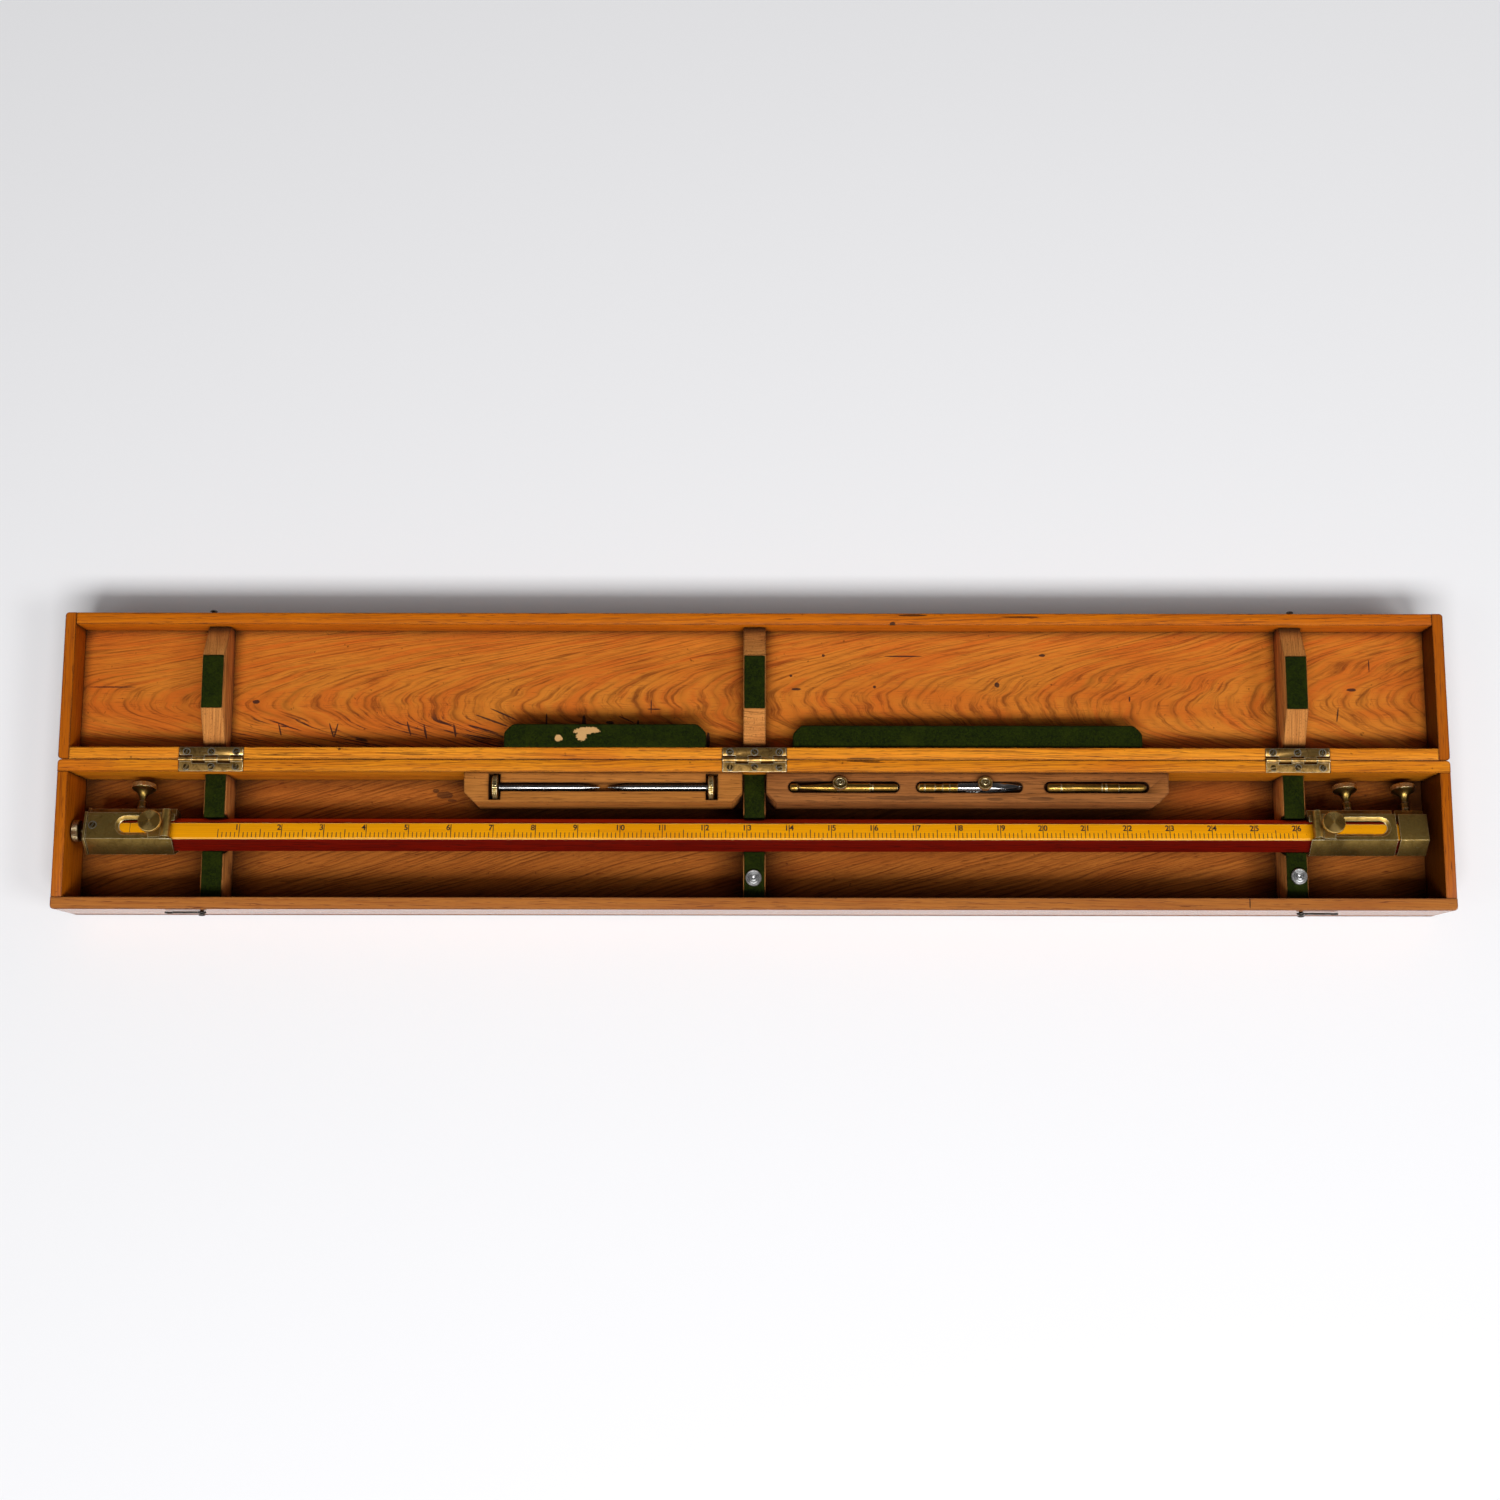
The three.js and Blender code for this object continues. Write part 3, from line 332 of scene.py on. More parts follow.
def woodFinish(name, look):
    made, shader, place = newMaterial(name)
    along = centred(place, look["pith"], look["turn"])
    grain = use(woodGrain, {"Vector": along, "Ring": look["ring"], "Dive": look["dive"],
                            "Wobble": look["wobble"], "Pinch": look["pinch"]})
    body = tinted(grain["Cloud"], shade(*look["light"]), look["mid"])
    warm = times(between(grain["Cloud"], 0.5, 0.72), 0.6)
    body = tinted(most(times(grain["Band"], look["flush"]), warm), body, look["blush"])
    body = tinted(times(grain["Rings"], look["ringStrength"]), body, look["dark"])
    fibre = between(grain["Fibre"], 0.48, 0.68)
    body = tinted(times(fibre, look["fibre"]), body, look["pore"])
    body = tinted(times(grain["Pore"], look["pores"]), body, look["pore"])
    if look["paintedSideLight"]:  # painted light and shade: faces turned one way are painted lighter or darker
        way, tint, share = look["paintedSideLight"]
        side = vector("DOT_PRODUCT", normals(), way)
        body = tinted(times(between(side, 0.85, 0.95), share), body, tint)
    worn = use(wearAndShade, {"Reach": look["reach"] * mm, "Edge": look["edgeWidth"] * mm})
    # Painted light and shade along edges, with some wear: dark edge lines on the varnish, lighter edges on
    # the beam, a painted highlight on the boxwood strip
    patches = between(cloud(place, look["rubScale"], 4, 0.6), 0.3, 0.55)
    edgeWearAndLightMask = times(worn["Edge"], times(patches, 0.5, 0.5))
    body = tinted(times(edgeWearAndLightMask, look["edgeWearAndLight"]), body, look["edge"])
    # Painted shade and grime: ambient occlusion darkens crevices, corners and places under things within
    # reach
    shadeAndGrime = times(worn["CreviceShadeAndGrime"], look["shadeAndGrime"])
    body = tinted(shadeAndGrime, body, look["grimeAndShade"])
    specks = between(cloud(place, look["speckScale"], 2, 0.5), 0.72, 0.78)
    body = tinted(times(specks, look["specks"]), body, look["grimeAndShade"])
    if look["spots"]:  # stains, only above one height
        above = between(split(place)["Z"], (look["above"] - 1) * mm, look["above"] * mm)
        stain = times(spotMask(place, look["spots"], look["ragged"]), look["spotStrength"])
        if look["strokes"]:
            stain = most(stain, strokeMask(place, grain["Fibre"], look["strokes"]))
        body = tinted(times(stain, above), body, look["ink"])
    height = calc("ADD", times(grain["Fibre"], -0.6), times(grain["Pore"], -0.4))
    rough = times(shadeAndGrime, 0.25, times(fibre, 0.2, look["rough"]), clamp=True)
    fill(shader, {"Base Color": body, "Roughness": rough, "Normal": bump(height, look["depth"]),
                  "Coat Weight": look["coat"], "Coat Roughness": 0.2, "Specular IOR Level": look["shine"]})
    return made


# Colours in 0 to 255; pith in mm and turn in degrees; ring, reach, edgeWidth, above and depth in mm
varnish = dict(
    light=(226, 144, 30), mid=(206, 118, 14), blush=(200, 100, 18), dark=(140, 62, 6), pore=(104, 46, 8),
    edge=(46, 18, 3), grimeAndShade=(24, 8, 1), ink=(26, 16, 12), pith=(0, -60, -20), turn=(0, 0, 0), ring=2.2,
    dive=0.03, wobble=2.4, pinch=0, ringStrength=0.7, flush=0.35, fibre=0.75, pores=0.85, reach=4,
    shadeAndGrime=0.92, edgeWidth=1.3, edgeWearAndLight=1.0, rubScale=45, specks=0.55, speckScale=330, paintedSideLight=None,
    strokes=None, spots=None, above=42, ragged=0.35, spotStrength=0.85, rough=0.4, coat=0.05, depth=0.1,
    shine=0.14)
bareWood = dict(rough=0.72, coat=0.0, ring=2.6, wobble=4, ringStrength=0.5, shine=0.12)
# Spots are middle x and y, half widths and turn
lidSpots = [
    (-63, 36.2, 0.4, 4.2), (-61, 34.4, 4, 0.4), (149.2, 49.8, 1.6, 1.7), (42.6, 68.1, 0.9, 0.9),
    (22.6, 55.4, 1.0, 0.8), (74, 48.4, 1, 1), (230.3, 41.1, 0.6, 1.6), (177.2, 68.3, 2, 0.9),
    (91.5, 67.6, 12, 0.5), (366.5, 46.9, 3, 1.0), (357.4, 31.3, 0.5, 4.5, 8), (378, 61.8, 0.4, 4),
    (-394, 47.8, 15, 0.4), (-305.1, 38.6, 2.2, 1.3), (26, 47, 3, 0.8), (-28, 15, 1.2, 5),
    (-153, 31, 9, 0.5, 24), (-160, 27, 11, 0.6, 20), (-166, 22, 10, 0.5, 16), (-168, 17, 9, 0.5, 10),
    (-290, 21.5, 0.5, 4, -14), (-288, 23.4, 2.2, 0.4, 10), (-258.4, 21, 0.5, 4.4, -18),
    (-255.6, 21, 0.5, 4.4, 14), (-257, 20, 2, 0.4), (-240, 15, 4, 0.7, 10), (-211, 22, 0.6, 4.5, -16),
    (-201, 20, 0.7, 4.6, -12), (-183, 21, 0.7, 4.4, -10), (-127, 27, 0.6, 5), (-104, 25, 1.2, 6),
    (-88, 26, 2.4, 1.0), (-78, 28, 5, 0.4, 24), (-71, 25, 0.8, 3)]
woodLooks = dict(
    lidFloor=dict(pith=(0, 38, -38), ring=0.95, dive=-0.09, pinch=-0.00125, wobble=3.0, fibre=0.7,
        pores=0.4, coat=0.0, light=(212, 130, 44), mid=(188, 102, 24), blush=(196, 90, 24),
        dark=(104, 54, 14), ringStrength=0.75, flush=0.62, rough=0.5, reach=8, shadeAndGrime=0.97, shine=0.1,
        above=22, ink=(20, 18, 24), spots=lidSpots,
        strokes=dict(x=(-350, -146), y=(4, 34), soft=9, gather=0.055, strength=0.8)),
    # The wide reach paints the shadows of the front wall and of the beam onto the box floor
    boxFloor=dict(pith=(330, -200, -60), turn=(0, 0, -9), ring=2.1, dive=-0.2, wobble=6, fibre=0.8,
        coat=0.0, light=(204, 122, 46), mid=(172, 92, 26), blush=(160, 78, 20), dark=(70, 28, 4),
        ringStrength=0.85, rough=0.55, reach=24, shadeAndGrime=0.99, shine=0.08, above=6,
        spots=[(-190.4, -16.6, 5, 2.2), (-196, -14, 2, 1.4), (-186, -20, 3, 0.8)], spotStrength=0.6),
    boxFront=dict(pith=(0, -140, 10), light=(186, 116, 46), mid=(162, 94, 32), blush=(154, 84, 32),
        coat=0.85, ring=2.6, spots=[(294.6, -86.2, 0.4, 3)], flush=0.2, fibre=0.65),
    boxBack=dict(pith=(60, 50, -14), light=(232, 146, 26), ring=1.5,
        spots=[(65.2, -0.8, 10, 0.5), (72, -1.6, 7, 0.3)]),
    lidNear=dict(pith=(-40, -46, 20), light=(250, 164, 44), mid=(224, 132, 22), ring=1.5,
        spots=[(65.2, 0.9, 9, 0.5), (-249.2, 6.2, 0.9, 0.9), (-284.7, 2.5, 14, 0.35),
        (-278, 3.7, 9, 0.25), (-211, 3.8, 16, 0.35), (-203, 2.8, 10, 0.3)], spotStrength=0.7),
    lidFar=dict(pith=(30, 150, -24), ring=1.9, light=(216, 122, 12), mid=(192, 96, 4),
        spots=[(84, 83, 1.8, 2), (96.2, 88.8, 9, 0.6), (161.5, 87.9, 12, 0.5)]),
    leftEnd=dict(pith=(-470, 0, -10), turn=(0, 0, -90), light=(194, 106, 8), mid=(170, 84, 2),
        blush=(160, 74, 4), ring=1.8),
    # The inner faces turned to -X are painted darker: painted shade where little light falls
    rightEnd=dict(pith=(470, 10, -16), turn=(0, 0, -90), light=(190, 102, 6), mid=(164, 80, 2),
        blush=(156, 72, 4), ring=1.8, paintedSideLight=((-1, 0, 0), (26, 8, 0), 0.78)),
    block=dict(bareWood, pith=(0, -60, 30), light=(190, 124, 54), mid=(168, 102, 40), blush=(150, 88, 34),
        dark=(126, 72, 26), pore=(78, 42, 16), edge=(84, 46, 18), fibre=0.65, reach=5),
    penBlock=dict(bareWood, pith=(100, -70, 30), light=(166, 104, 52), mid=(146, 88, 40),
        blush=(134, 78, 36), dark=(94, 54, 24), pore=(60, 34, 14), edge=(70, 38, 16), fibre=0.7, reach=6,
        above=39, spotStrength=0.4,
        spots=[(89, -22.6, 20, 1.4), (171.7, -23, 8, 1.3), (145, -23.4, 5, 1.0), (33, -12, 9, 1.4)]),
    support=dict(bareWood, pith=(0, 40, -20), turn=(0, 0, -90), light=(214, 146, 76), mid=(190, 118, 54),
        blush=(176, 104, 46), dark=(120, 66, 28), pore=(86, 48, 20), edge=(70, 36, 14), rough=0.75,
        ring=1.7, wobble=2.4, ringStrength=0.6, reach=8),
    # Faces of the beam turned back and up are painted a lighter red: painted light thrown back from the
    # case
    beam=dict(light=(112, 15, 1), mid=(88, 6, 0), blush=(78, 5, 0), dark=(50, 3, 0), pore=(40, 3, 1),
        edge=(138, 34, 14), grimeAndShade=(20, 2, 1), pith=(0, -70, -30), ring=1.6, dive=0.015, wobble=2,
        rough=0.5, coat=0.0, ringStrength=0.5, edgeWearAndLight=0.5, shine=0.06, shadeAndGrime=0.35,
        paintedSideLight=((0, 0.956, 0.292), (250, 80, 14), 0.9)),
    # The strip's pale edge colour is a painted highlight along its edges
    strip=dict(light=(248, 172, 6), mid=(234, 152, 2), blush=(226, 142, 2), dark=(200, 118, 4),
        pore=(176, 102, 10), edge=(255, 226, 150), grimeAndShade=(70, 34, 4), pith=(0, -90, 12), ring=1.1,
        dive=0.01, wobble=2, ringStrength=0.3, fibre=0.25, pores=0.1, depth=0.03, shadeAndGrime=0.4, edgeWidth=0.7,
        shine=0.12))
woodNames = dict(beam="red_beam", strip="boxwood_strip")
woods = {name: woodFinish(woodNames.get(name, "wood_" + name), {**varnish, **look})
         for name, look in woodLooks.items()}


feltLook = dict(
    deep=(8, 16, 0), green=(34, 44, 0), faded=(42, 50, 2), lint=(100, 104, 50), glue=(214, 170, 112),
    board=(190, 142, 86), sheen=(90, 110, 40), pile=0.35, bald=None)


def feltFinish(name, look):
    made, shader, place = newMaterial(name)
    wool = cloud(place, 700, 6, 0.75, distortion=1.2)
    nap = cloud(place, 2400, 3, 0.7, (1, 0.4, 1), 2.0)
    body = tinted(between(wool, 0.35, 0.65), shade(*look["deep"]), look["green"])
    worn = between(cloud(place, 70, 3, 0.6), 0.45, 0.75)
    body = tinted(times(worn, 0.5), body, look["faded"])
    body = tinted(times(between(nap, 0.7, 0.78), 0.35), body, look["lint"])
    height = calc("ADD", wool, times(nap, 0.5))
    if look["bald"]:
        bare = spotMask(place, look["bald"], 0.75)
        body = blend(bare, body, tinted(wool, shade(*look["glue"]), look["board"]))
        height = times(height, calc("SUBTRACT", 1.2, bare))
    fill(shader, {"Base Color": body, "Roughness": times(wool, 0.1, 0.88, clamp=True),
                  "Sheen Weight": 0.02, "Sheen Roughness": 0.5, "Sheen Tint": shade(*look["sheen"]),
                  "Specular IOR Level": 0.1, "Normal": bump(height, look["pile"], 0.9)})
    return made


felt = feltFinish("green_felt", feltLook)
# Bare patches of the left pad: middle x and y, half widths
baldSpots = [(-100.5, 17.4, 7.2, 2.2), (-103.5, 13.8, 3.2, 3.0), (-96.4, 18.2, 2.6, 1.6),
             (-117.6, 13.0, 2.2, 2.0)]
wornFelt = feltFinish("worn_felt", dict(feltLook, bald=baldSpots))


def metalFinish(name, look):
    made, shader, place = newMaterial(name)
    marks = use(tarnish, {"Vector": place})
    worn = use(wearAndShade, {"Reach": look["reach"] * mm, "Edge": look["edgeWidth"] * mm})
    body = tinted(times(marks["Stain"], look["stain"]), shade(*look["base"]), look["tarnish"])
    broad = between(cloud(place, look["deepScale"], 3, 0.6), 0.45, 0.7)
    body = tinted(times(broad, look["deep"]), body, look["grimeAndShade"])
    if look["paintedSheen"]:  # painted reflection: a fan-shaped sheen of turned rings, painted brightest along Y and darker at the sides
        parts = split(centred(place, *look["axis"]))
        across, along = (times(parts[k], parts[k]) for k in ("X", "Y"))
        paintedSheen = between(calc("DIVIDE", along, calc("ADD", across, along)), *look["paintedSheen"])
        body = tinted(paintedSheen, tinted(0.35, body, look["grimeAndShade"]), look["bright"])
    # Painted highlight along the edges from the edge mask, with real bright scratches
    lift = most(times(worn["Edge"], look["edgeWearAndLight"]), times(marks["Scratch"], look["scratch"]))
    body = tinted(lift, body, look["bright"])
    # Painted shade and grime: ambient occlusion darkens crevices and recesses within reach
    shadeAndGrime = times(worn["CreviceShadeAndGrime"], look["shadeAndGrime"])
    body = tinted(shadeAndGrime, body, look["grimeAndShade"])
    rough = times(shadeAndGrime, 0.3, times(marks["Stain"], 0.14, look["rough"]), clamp=True)
    height = times(marks["Grain"], 0.25, times(marks["Scratch"], -0.6))
    if look["axis"]:  # turned work
        axis = centred(place, *look["axis"])
        rings = use(turning, {"Vector": axis, "Pitch": look["pitch"]})
        height = times(rings["Height"], look["cut"], height)
    fill(shader, {"Base Color": body, "Metallic": 1.0, "Roughness": rough,
                  "Normal": bump(height, look["depth"])})
    return made


# axis is a middle in mm and the turn that brings the axis to Z; pitch, reach, edgeWidth and depth in mm
metal = dict(
    stain=0.8, deep=0.4, deepScale=38, edgeWearAndLight=0.7, scratch=0.3, shadeAndGrime=0.7, reach=1.5, edgeWidth=0.5,
    depth=0.012, axis=None, paintedSheen=None, pitch=0.22, cut=1.6)
brassLook = dict(
    metal, base=(166, 136, 72), tarnish=(112, 88, 42), bright=(255, 240, 196), grimeAndShade=(20, 14, 6),
    rough=0.4, edgeWearAndLight=1.0)
turnedBrass = dict(brassLook, base=(138, 112, 56), tarnish=(92, 74, 34), rough=0.27, stain=0.6)
steelLook = dict(
    metal, base=(150, 150, 150), tarnish=(104, 100, 94), bright=(244, 244, 244), grimeAndShade=(24, 20, 18),
    rough=0.16, stain=0.4, depth=0.002, scratch=0.15)
darkLook = dict(
    metal, base=(58, 54, 50), tarnish=(34, 28, 22), bright=(150, 146, 140), grimeAndShade=(14, 10, 8), rough=0.42,
    edgeWearAndLight=0.8)
plateBrass = metalFinish("plate_brass", brassLook)
# The crevice mark paints shade between the hinge leaf and its barrel
hingeBrass = metalFinish("hinge_brass", dict(
    brassLook, base=(198, 156, 88), tarnish=(92, 66, 30), rough=0.28, stain=0.95, shadeAndGrime=0.85,
    reach=1.1, deep=0.08))
screwBrass = metalFinish("screw_brass", dict(
    brassLook, base=(112, 86, 42), tarnish=(60, 42, 20), rough=0.3, shadeAndGrime=0.95))
knobBrass = metalFinish("knob_brass", turnedBrass)
# The wider reach paints shade at the sides of the pens lying in their slots
penBrass = metalFinish("pen_brass", dict(
    turnedBrass, base=(160, 124, 56), tarnish=(90, 62, 24), reach=3, shadeAndGrime=0.95))
steel = metalFinish("steel", steelLook)
darkSteel = metalFinish("dark_steel", darkLook)

inkLook = dict(fresh=(18, 5, 0), faded=(74, 32, 4), fading=0.4)


def inkFinish():
    made, shader, place = newMaterial("ink")
    fade = between(cloud(place, 500, 3, 0.6), 0.3, 0.75)
    body = tinted(times(fade, inkLook["fading"]), shade(*inkLook["fresh"]), inkLook["faded"])
    fill(shader, {"Base Color": body, "Roughness": times(fade, 0.2, 0.55),
                  "Normal": bump(fade, 0.02)})
    return made


ink = inkFinish()
print("finishes ready")


def meshFrom(name, shape, materials=()):
    mesh = bpy.data.meshes.new(name)
    shape.to_mesh(mesh)
    shape.free()
    for one in materials:
        mesh.materials.append(one)
    return mesh


# Turns a shape drawn in mm into a piece that rides on a body and may take the place of a CAD node
def finish(name, shape, materials, body, replaces=None, smooth=32):
    bmesh.ops.scale(shape, vec=(mm, mm, mm), verts=shape.verts)
    mesh = meshFrom(name, shape, materials if isinstance(materials, list) else [materials])
    mesh.shade_smooth()
    mesh.set_sharp_from_angle(angle=radians(smooth))
    piece = linked(name, mesh)
    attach(piece, body)
    if replaces:
        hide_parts(replaces)
    return piece


# The look of one CAD node
def dress(node, shape, materials, body, smooth=32):
    return finish(node + "_look", shape, materials, body, node, smooth)


# A CAD node's shape in mm, with its flat faces made whole again unless flat is 0
def cadCopy(node, flat=0.6):
    shape = bmesh.new()
    shape.from_mesh(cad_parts[node].data)
    bmesh.ops.scale(shape, vec=(1 / mm, 1 / mm, 1 / mm), verts=shape.verts)
    bmesh.ops.remove_doubles(shape, verts=shape.verts, dist=0.001)
    if flat:
        bmesh.ops.dissolve_limit(shape, angle_limit=radians(flat), verts=shape.verts, edges=shape.edges)
    return shape


def bevelled(shape, edges, width, segments):
    bmesh.ops.bevel(shape, geom=edges, offset=width, offset_type="OFFSET", segments=segments, profile=0.5,
                    affect="EDGES", material=-1, clamp_overlap=True)


# Rounds the edges over an angle and longer than a length
def soften(shape, width, segments=2, over=28, longer=0.0):
    edges = [e for e in shape.edges if e.is_manifold and e.calc_face_angle(0) > radians(over)
             and e.calc_length() > longer]
    bevelled(shape, edges, width, segments)
    return shape


def cutAt(shape, place, way, **more):
    bmesh.ops.bisect_plane(shape, geom=shape.verts[:] + shape.edges[:] + shape.faces[:], plane_co=place,
                           plane_no=way, **more)


# Spins points of (radius, height) round Z, from the axis back to the axis
def lathe(outline, steps):
    shape = bmesh.new()
    verts = [shape.verts.new((r, 0, h)) for r, h in outline]
    edges = [shape.edges.new(pair) for pair in zip(verts, verts[1:])]
    bmesh.ops.spin(shape, geom=verts + edges, axis=(0, 0, 1), cent=(0, 0, 0), angle=2 * pi, steps=steps,
                   use_merge=True, use_duplicate=False)
    bmesh.ops.remove_doubles(shape, verts=shape.verts, dist=0.0005)
    bmesh.ops.recalc_face_normals(shape, faces=shape.faces)
    return shape


# A turned piece whose rim, from low to high at one radius, has a tooth for every second step
def knurled(size, first=()):
    low, high, radius, depth = size["rim"]
    shape = lathe([*first, *size["outline"]], size["steps"])
    for v in shape.verts:
        out = hypot(v.co.x, v.co.y)
        onRim = low - 1e-4 <= v.co.z <= high + 1e-4 and out > radius - 1e-3
        if onRim and round(atan2(v.co.y, v.co.x) / (2 * pi / size["steps"])) % 2:
            v.co.x *= (out - depth) / out
            v.co.y *= (out - depth) / out
    return shape


def joined(*shapes):
    whole = bmesh.new()
    for one in shapes:
        holder = meshFrom("holder", one)
        whole.from_mesh(holder)
        bpy.data.meshes.remove(holder)
    return whole


def moved(shape, matrix):
    bmesh.ops.transform(shape, matrix=matrix, verts=shape.verts)
    return shape


def box(x, y, z):
    shape = bmesh.new()
    bmesh.ops.create_cube(shape, size=1)
    size = Matrix.Diagonal((x[1] - x[0], y[1] - y[0], z[1] - z[0], 1))
    return moved(shape, shift((sum(x) / 2, sum(y) / 2, sum(z) / 2)) @ size)


# The mesh of a curve or a text
def meshOf(data):
    holder = linked("holder", data)
    bpy.context.view_layer.update()
    mesh = bpy.data.meshes.new_from_object(holder.evaluated_get(bpy.context.evaluated_depsgraph_get()))
    bpy.data.objects.remove(holder)
    return mesh


beamPlace = dict(middle=(0, -43.9, 27.4), tilt=-13)
beamFrame = shift(beamPlace["middle"]) @ spun(beamPlace["tilt"], "X")
towardsBack = spun(-90, "X")  # Z to +Y
towardsRight = spun(90, "Y")  # Z to +X
towardsLeft = spun(-90, "Y")  # Z to -X

# Colours in 0 to 255, sizes in metres; each lamp has a power, a place and a size
stage = dict(
    floorSize=12.0, floorHeight=-0.0004, floor=(231, 231, 233), patches=(228, 228, 232),
    seen=(246, 246, 249), glow=0.08, fade=(0.8, 3.2), sky=0.085, ceiling=0.08, ceilingFrom=(0.15, 0.5),
    aim=0.3, aimSide=0.2, lamps=dict(
        front=(80, (0, -1.49, 2.6), (2.1, 0.75)), left=(6, (-2.0, -1.0, 2.4), (1.1, 0.8)),
        right=(28, (2.0, -1.0, 2.4), (1.1, 0.8))))


# How far a ray is one that sees the studio rather than one that lights it
def seenRays():
    rays = add("LightPath").outputs
    return most(rays["Is Camera Ray"], most(rays["Is Glossy Ray"], rays["Is Transmission Ray"]))


def makeStage():
    made, shader, place = newMaterial("paper")
    tone = times(between(cloud(place, 3, 2), 0.3, 0.7), 0.06)
    body = tinted(tone, shade(*stage["floor"]), stage["patches"])
    fill(shader, {"Base Color": body, "Roughness": 0.9, "Specular IOR Level": 0.1})
    far = between(vector("LENGTH", place), *stage["fade"])
    glow = times(seenRays(), times(far, 1 - stage["glow"], stage["glow"]))
    glow = add("Emission", {"Color": shade(*stage["seen"]), "Strength": glow})
    both = add("AddShader", {0: shader.outputs[0], 1: glow.outputs[0]})
    fill(made.node_tree.nodes["Material Output"], {"Surface": both.outputs[0]})
    shape = bmesh.new()
    bmesh.ops.create_grid(shape, x_segments=2, y_segments=2, size=stage["floorSize"] / 2)
    floor = linked("floor", meshFrom("floor", shape, [made]))
    floor.location.z = stage["floorHeight"]


def makeLight():
    world = bpy.data.worlds.new("studio")
    bpy.context.scene.world = world
    world.use_nodes = True
    bench["tree"] = world.node_tree
    up = split(add("TexCoord").outputs["Generated"])["Z"]
    # The camera sees white; the metal sees pale walls round a dark ceiling
    room = times(between(up, *stage["ceilingFrom"]), stage["ceiling"] - 1, 1.0)
    room = mixed(add("LightPath").outputs["Is Camera Ray"], room, 1.0)
    strength = mixed(seenRays(), stage["sky"], room)
    fill(world.node_tree.nodes["Background"], {"Strength": strength, "Color": (1, 1, 1, 1)})
    for name, (power, place, size) in stage["lamps"].items():
        data = bpy.data.lights.new(name, "AREA")
        data.shape = "RECTANGLE"
        data.size, data.size_y = size
        data.energy = power
        lamp = linked(name, data)
        lamp.location = place
        aim = Vector((place[0] * stage["aimSide"], stage["aim"], 0)) - Vector(place)
        lamp.rotation_mode = "QUATERNION"
        lamp.rotation_quaternion = aim.to_track_quat("-Z", "Y")


makeCamera()
makeStage()
makeLight()
bpy.context.scene.view_settings.view_transform = "Standard"
print("stage ready")


# Each board has a look, a body and the y of its upright corners that are rounded
boards = dict(edge=0.45, corner=2.2, end=418, pieces=dict(
    box_bottom=("boxFloor", "case", (-90.15, -0.15)),
    box_front_board=("boxFront", "case", (-90.15,)), box_back_board=("boxBack", "case", (-0.15,)),
    box_left_end=("leftEnd", "case", ()), box_right_end=("rightEnd", "case", ()),
    lid_top=("lidFloor", "lid", (0.15, 90.15)), lid_hinge_board=("lidNear", "lid", ()),
    lid_far_board=("lidFar", "lid", ()), lid_left_end=("leftEnd", "lid", (0.15, 90.15)),
    lid_right_end=("rightEnd", "lid", (0.15, 90.15))))


def isCorner(edge, rows, near=0.01):
    a, b = (v.co for v in edge.verts)
    return (all(abs(abs(p.x) - boards["end"]) < near for p in (a, b)) and abs(a.y - b.y) < near
            and any(abs(a.y - y) < 2 * near for y in rows) and abs(a.z - b.z) > 1)


def makeBoards():
    for node, (look, body, rows) in boards["pieces"].items():
        shape = cadCopy(node)
        corners = [e for e in shape.edges if isCorner(e, rows)]
        if corners:
            bevelled(shape, corners, boards["corner"], 5)
        dress(node, soften(shape, boards["edge"], 2, 40, 6), woods[look], body)


rowX = dict(left=-326, middle=0.3, right=326.6)  # where the supports and the hinges stand
supports = dict(box=("case", 0.3, 28), lid=("lid", 0.4, 15))  # body, rounding and the least angle rounded
blocks = dict(point_block="block", pen_block="penBlock")


def makeSupports():
    for side in rowX:
        for half, (body, width, over) in supports.items():
            node = f"{half}_support_{side}"
            dress(node, soften(cadCopy(node), width, 2, over, 2), woods["support"], body)
    for node, look in blocks.items():
        dress(node, soften(cadCopy(node), 0.5, 3, 40, 3), woods[look], "case")


makeBoards()
makeSupports()
print("case ready")


# Moves the surface in and out a little, the way wool lies
def fuzz(shape, depth, seed):
    shape.normal_update()
    for v in shape.verts:
        lift = noise.noise(v.co * 0.55 + Vector((seed, 0, 0))) * 0.6 + noise.noise(v.co * 1.9) * 0.4
        v.co += v.normal * lift * depth


boxFelt = dict(edge=0.25, longer=0.6)


def makeFelts():
    for side, x in rowX.items():
        shape = cadCopy(f"support_felt_{side}")
        cutAt(shape, (x, 0, 0), (1, 0, 0))
        soften(shape, boxFelt["edge"], 2, 30, boxFelt["longer"])
        piece = dress(f"support_felt_{side}", shape, felt, "case", 60)


lidFelt = dict(width=12.4, y=(30.6, 62.7), z=(46.95, 47.95), edge=0.3, nap=0.06, cuts=11, seed=7)


def makeLidFelts():
    half, (low, high) = lidFelt["width"] / 2, lidFelt["z"]
    for i, (side, x) in enumerate(rowX.items()):
        shape = box((x - half, x + half), lidFelt["y"], (low, high))
        bmesh.ops.subdivide_edges(shape, edges=[e for e in shape.edges if e.calc_length() > 5],
                                  cuts=lidFelt["cuts"], use_grid_fill=True)
        soften(shape, lidFelt["edge"], 2, 50)
        fuzz(shape, lidFelt["nap"], i * lidFelt["seed"])
        for v in shape.verts:
            v.co.z = max(v.co.z, low)
        piece = finish(f"lid_felt_{side}", shape, felt, "lid", smooth=60)


# Corner and rim are roundings; cutsX and cutsY are where the cloth may bend
pads = dict(
    corner=1.6, rim=1.1, nap=0.12, seed=3, cutsX=range(-150, 240, 6), cutsY=(10, 12.5, 15, 17.5),
    pieces=dict(left=wornFelt, right=felt))


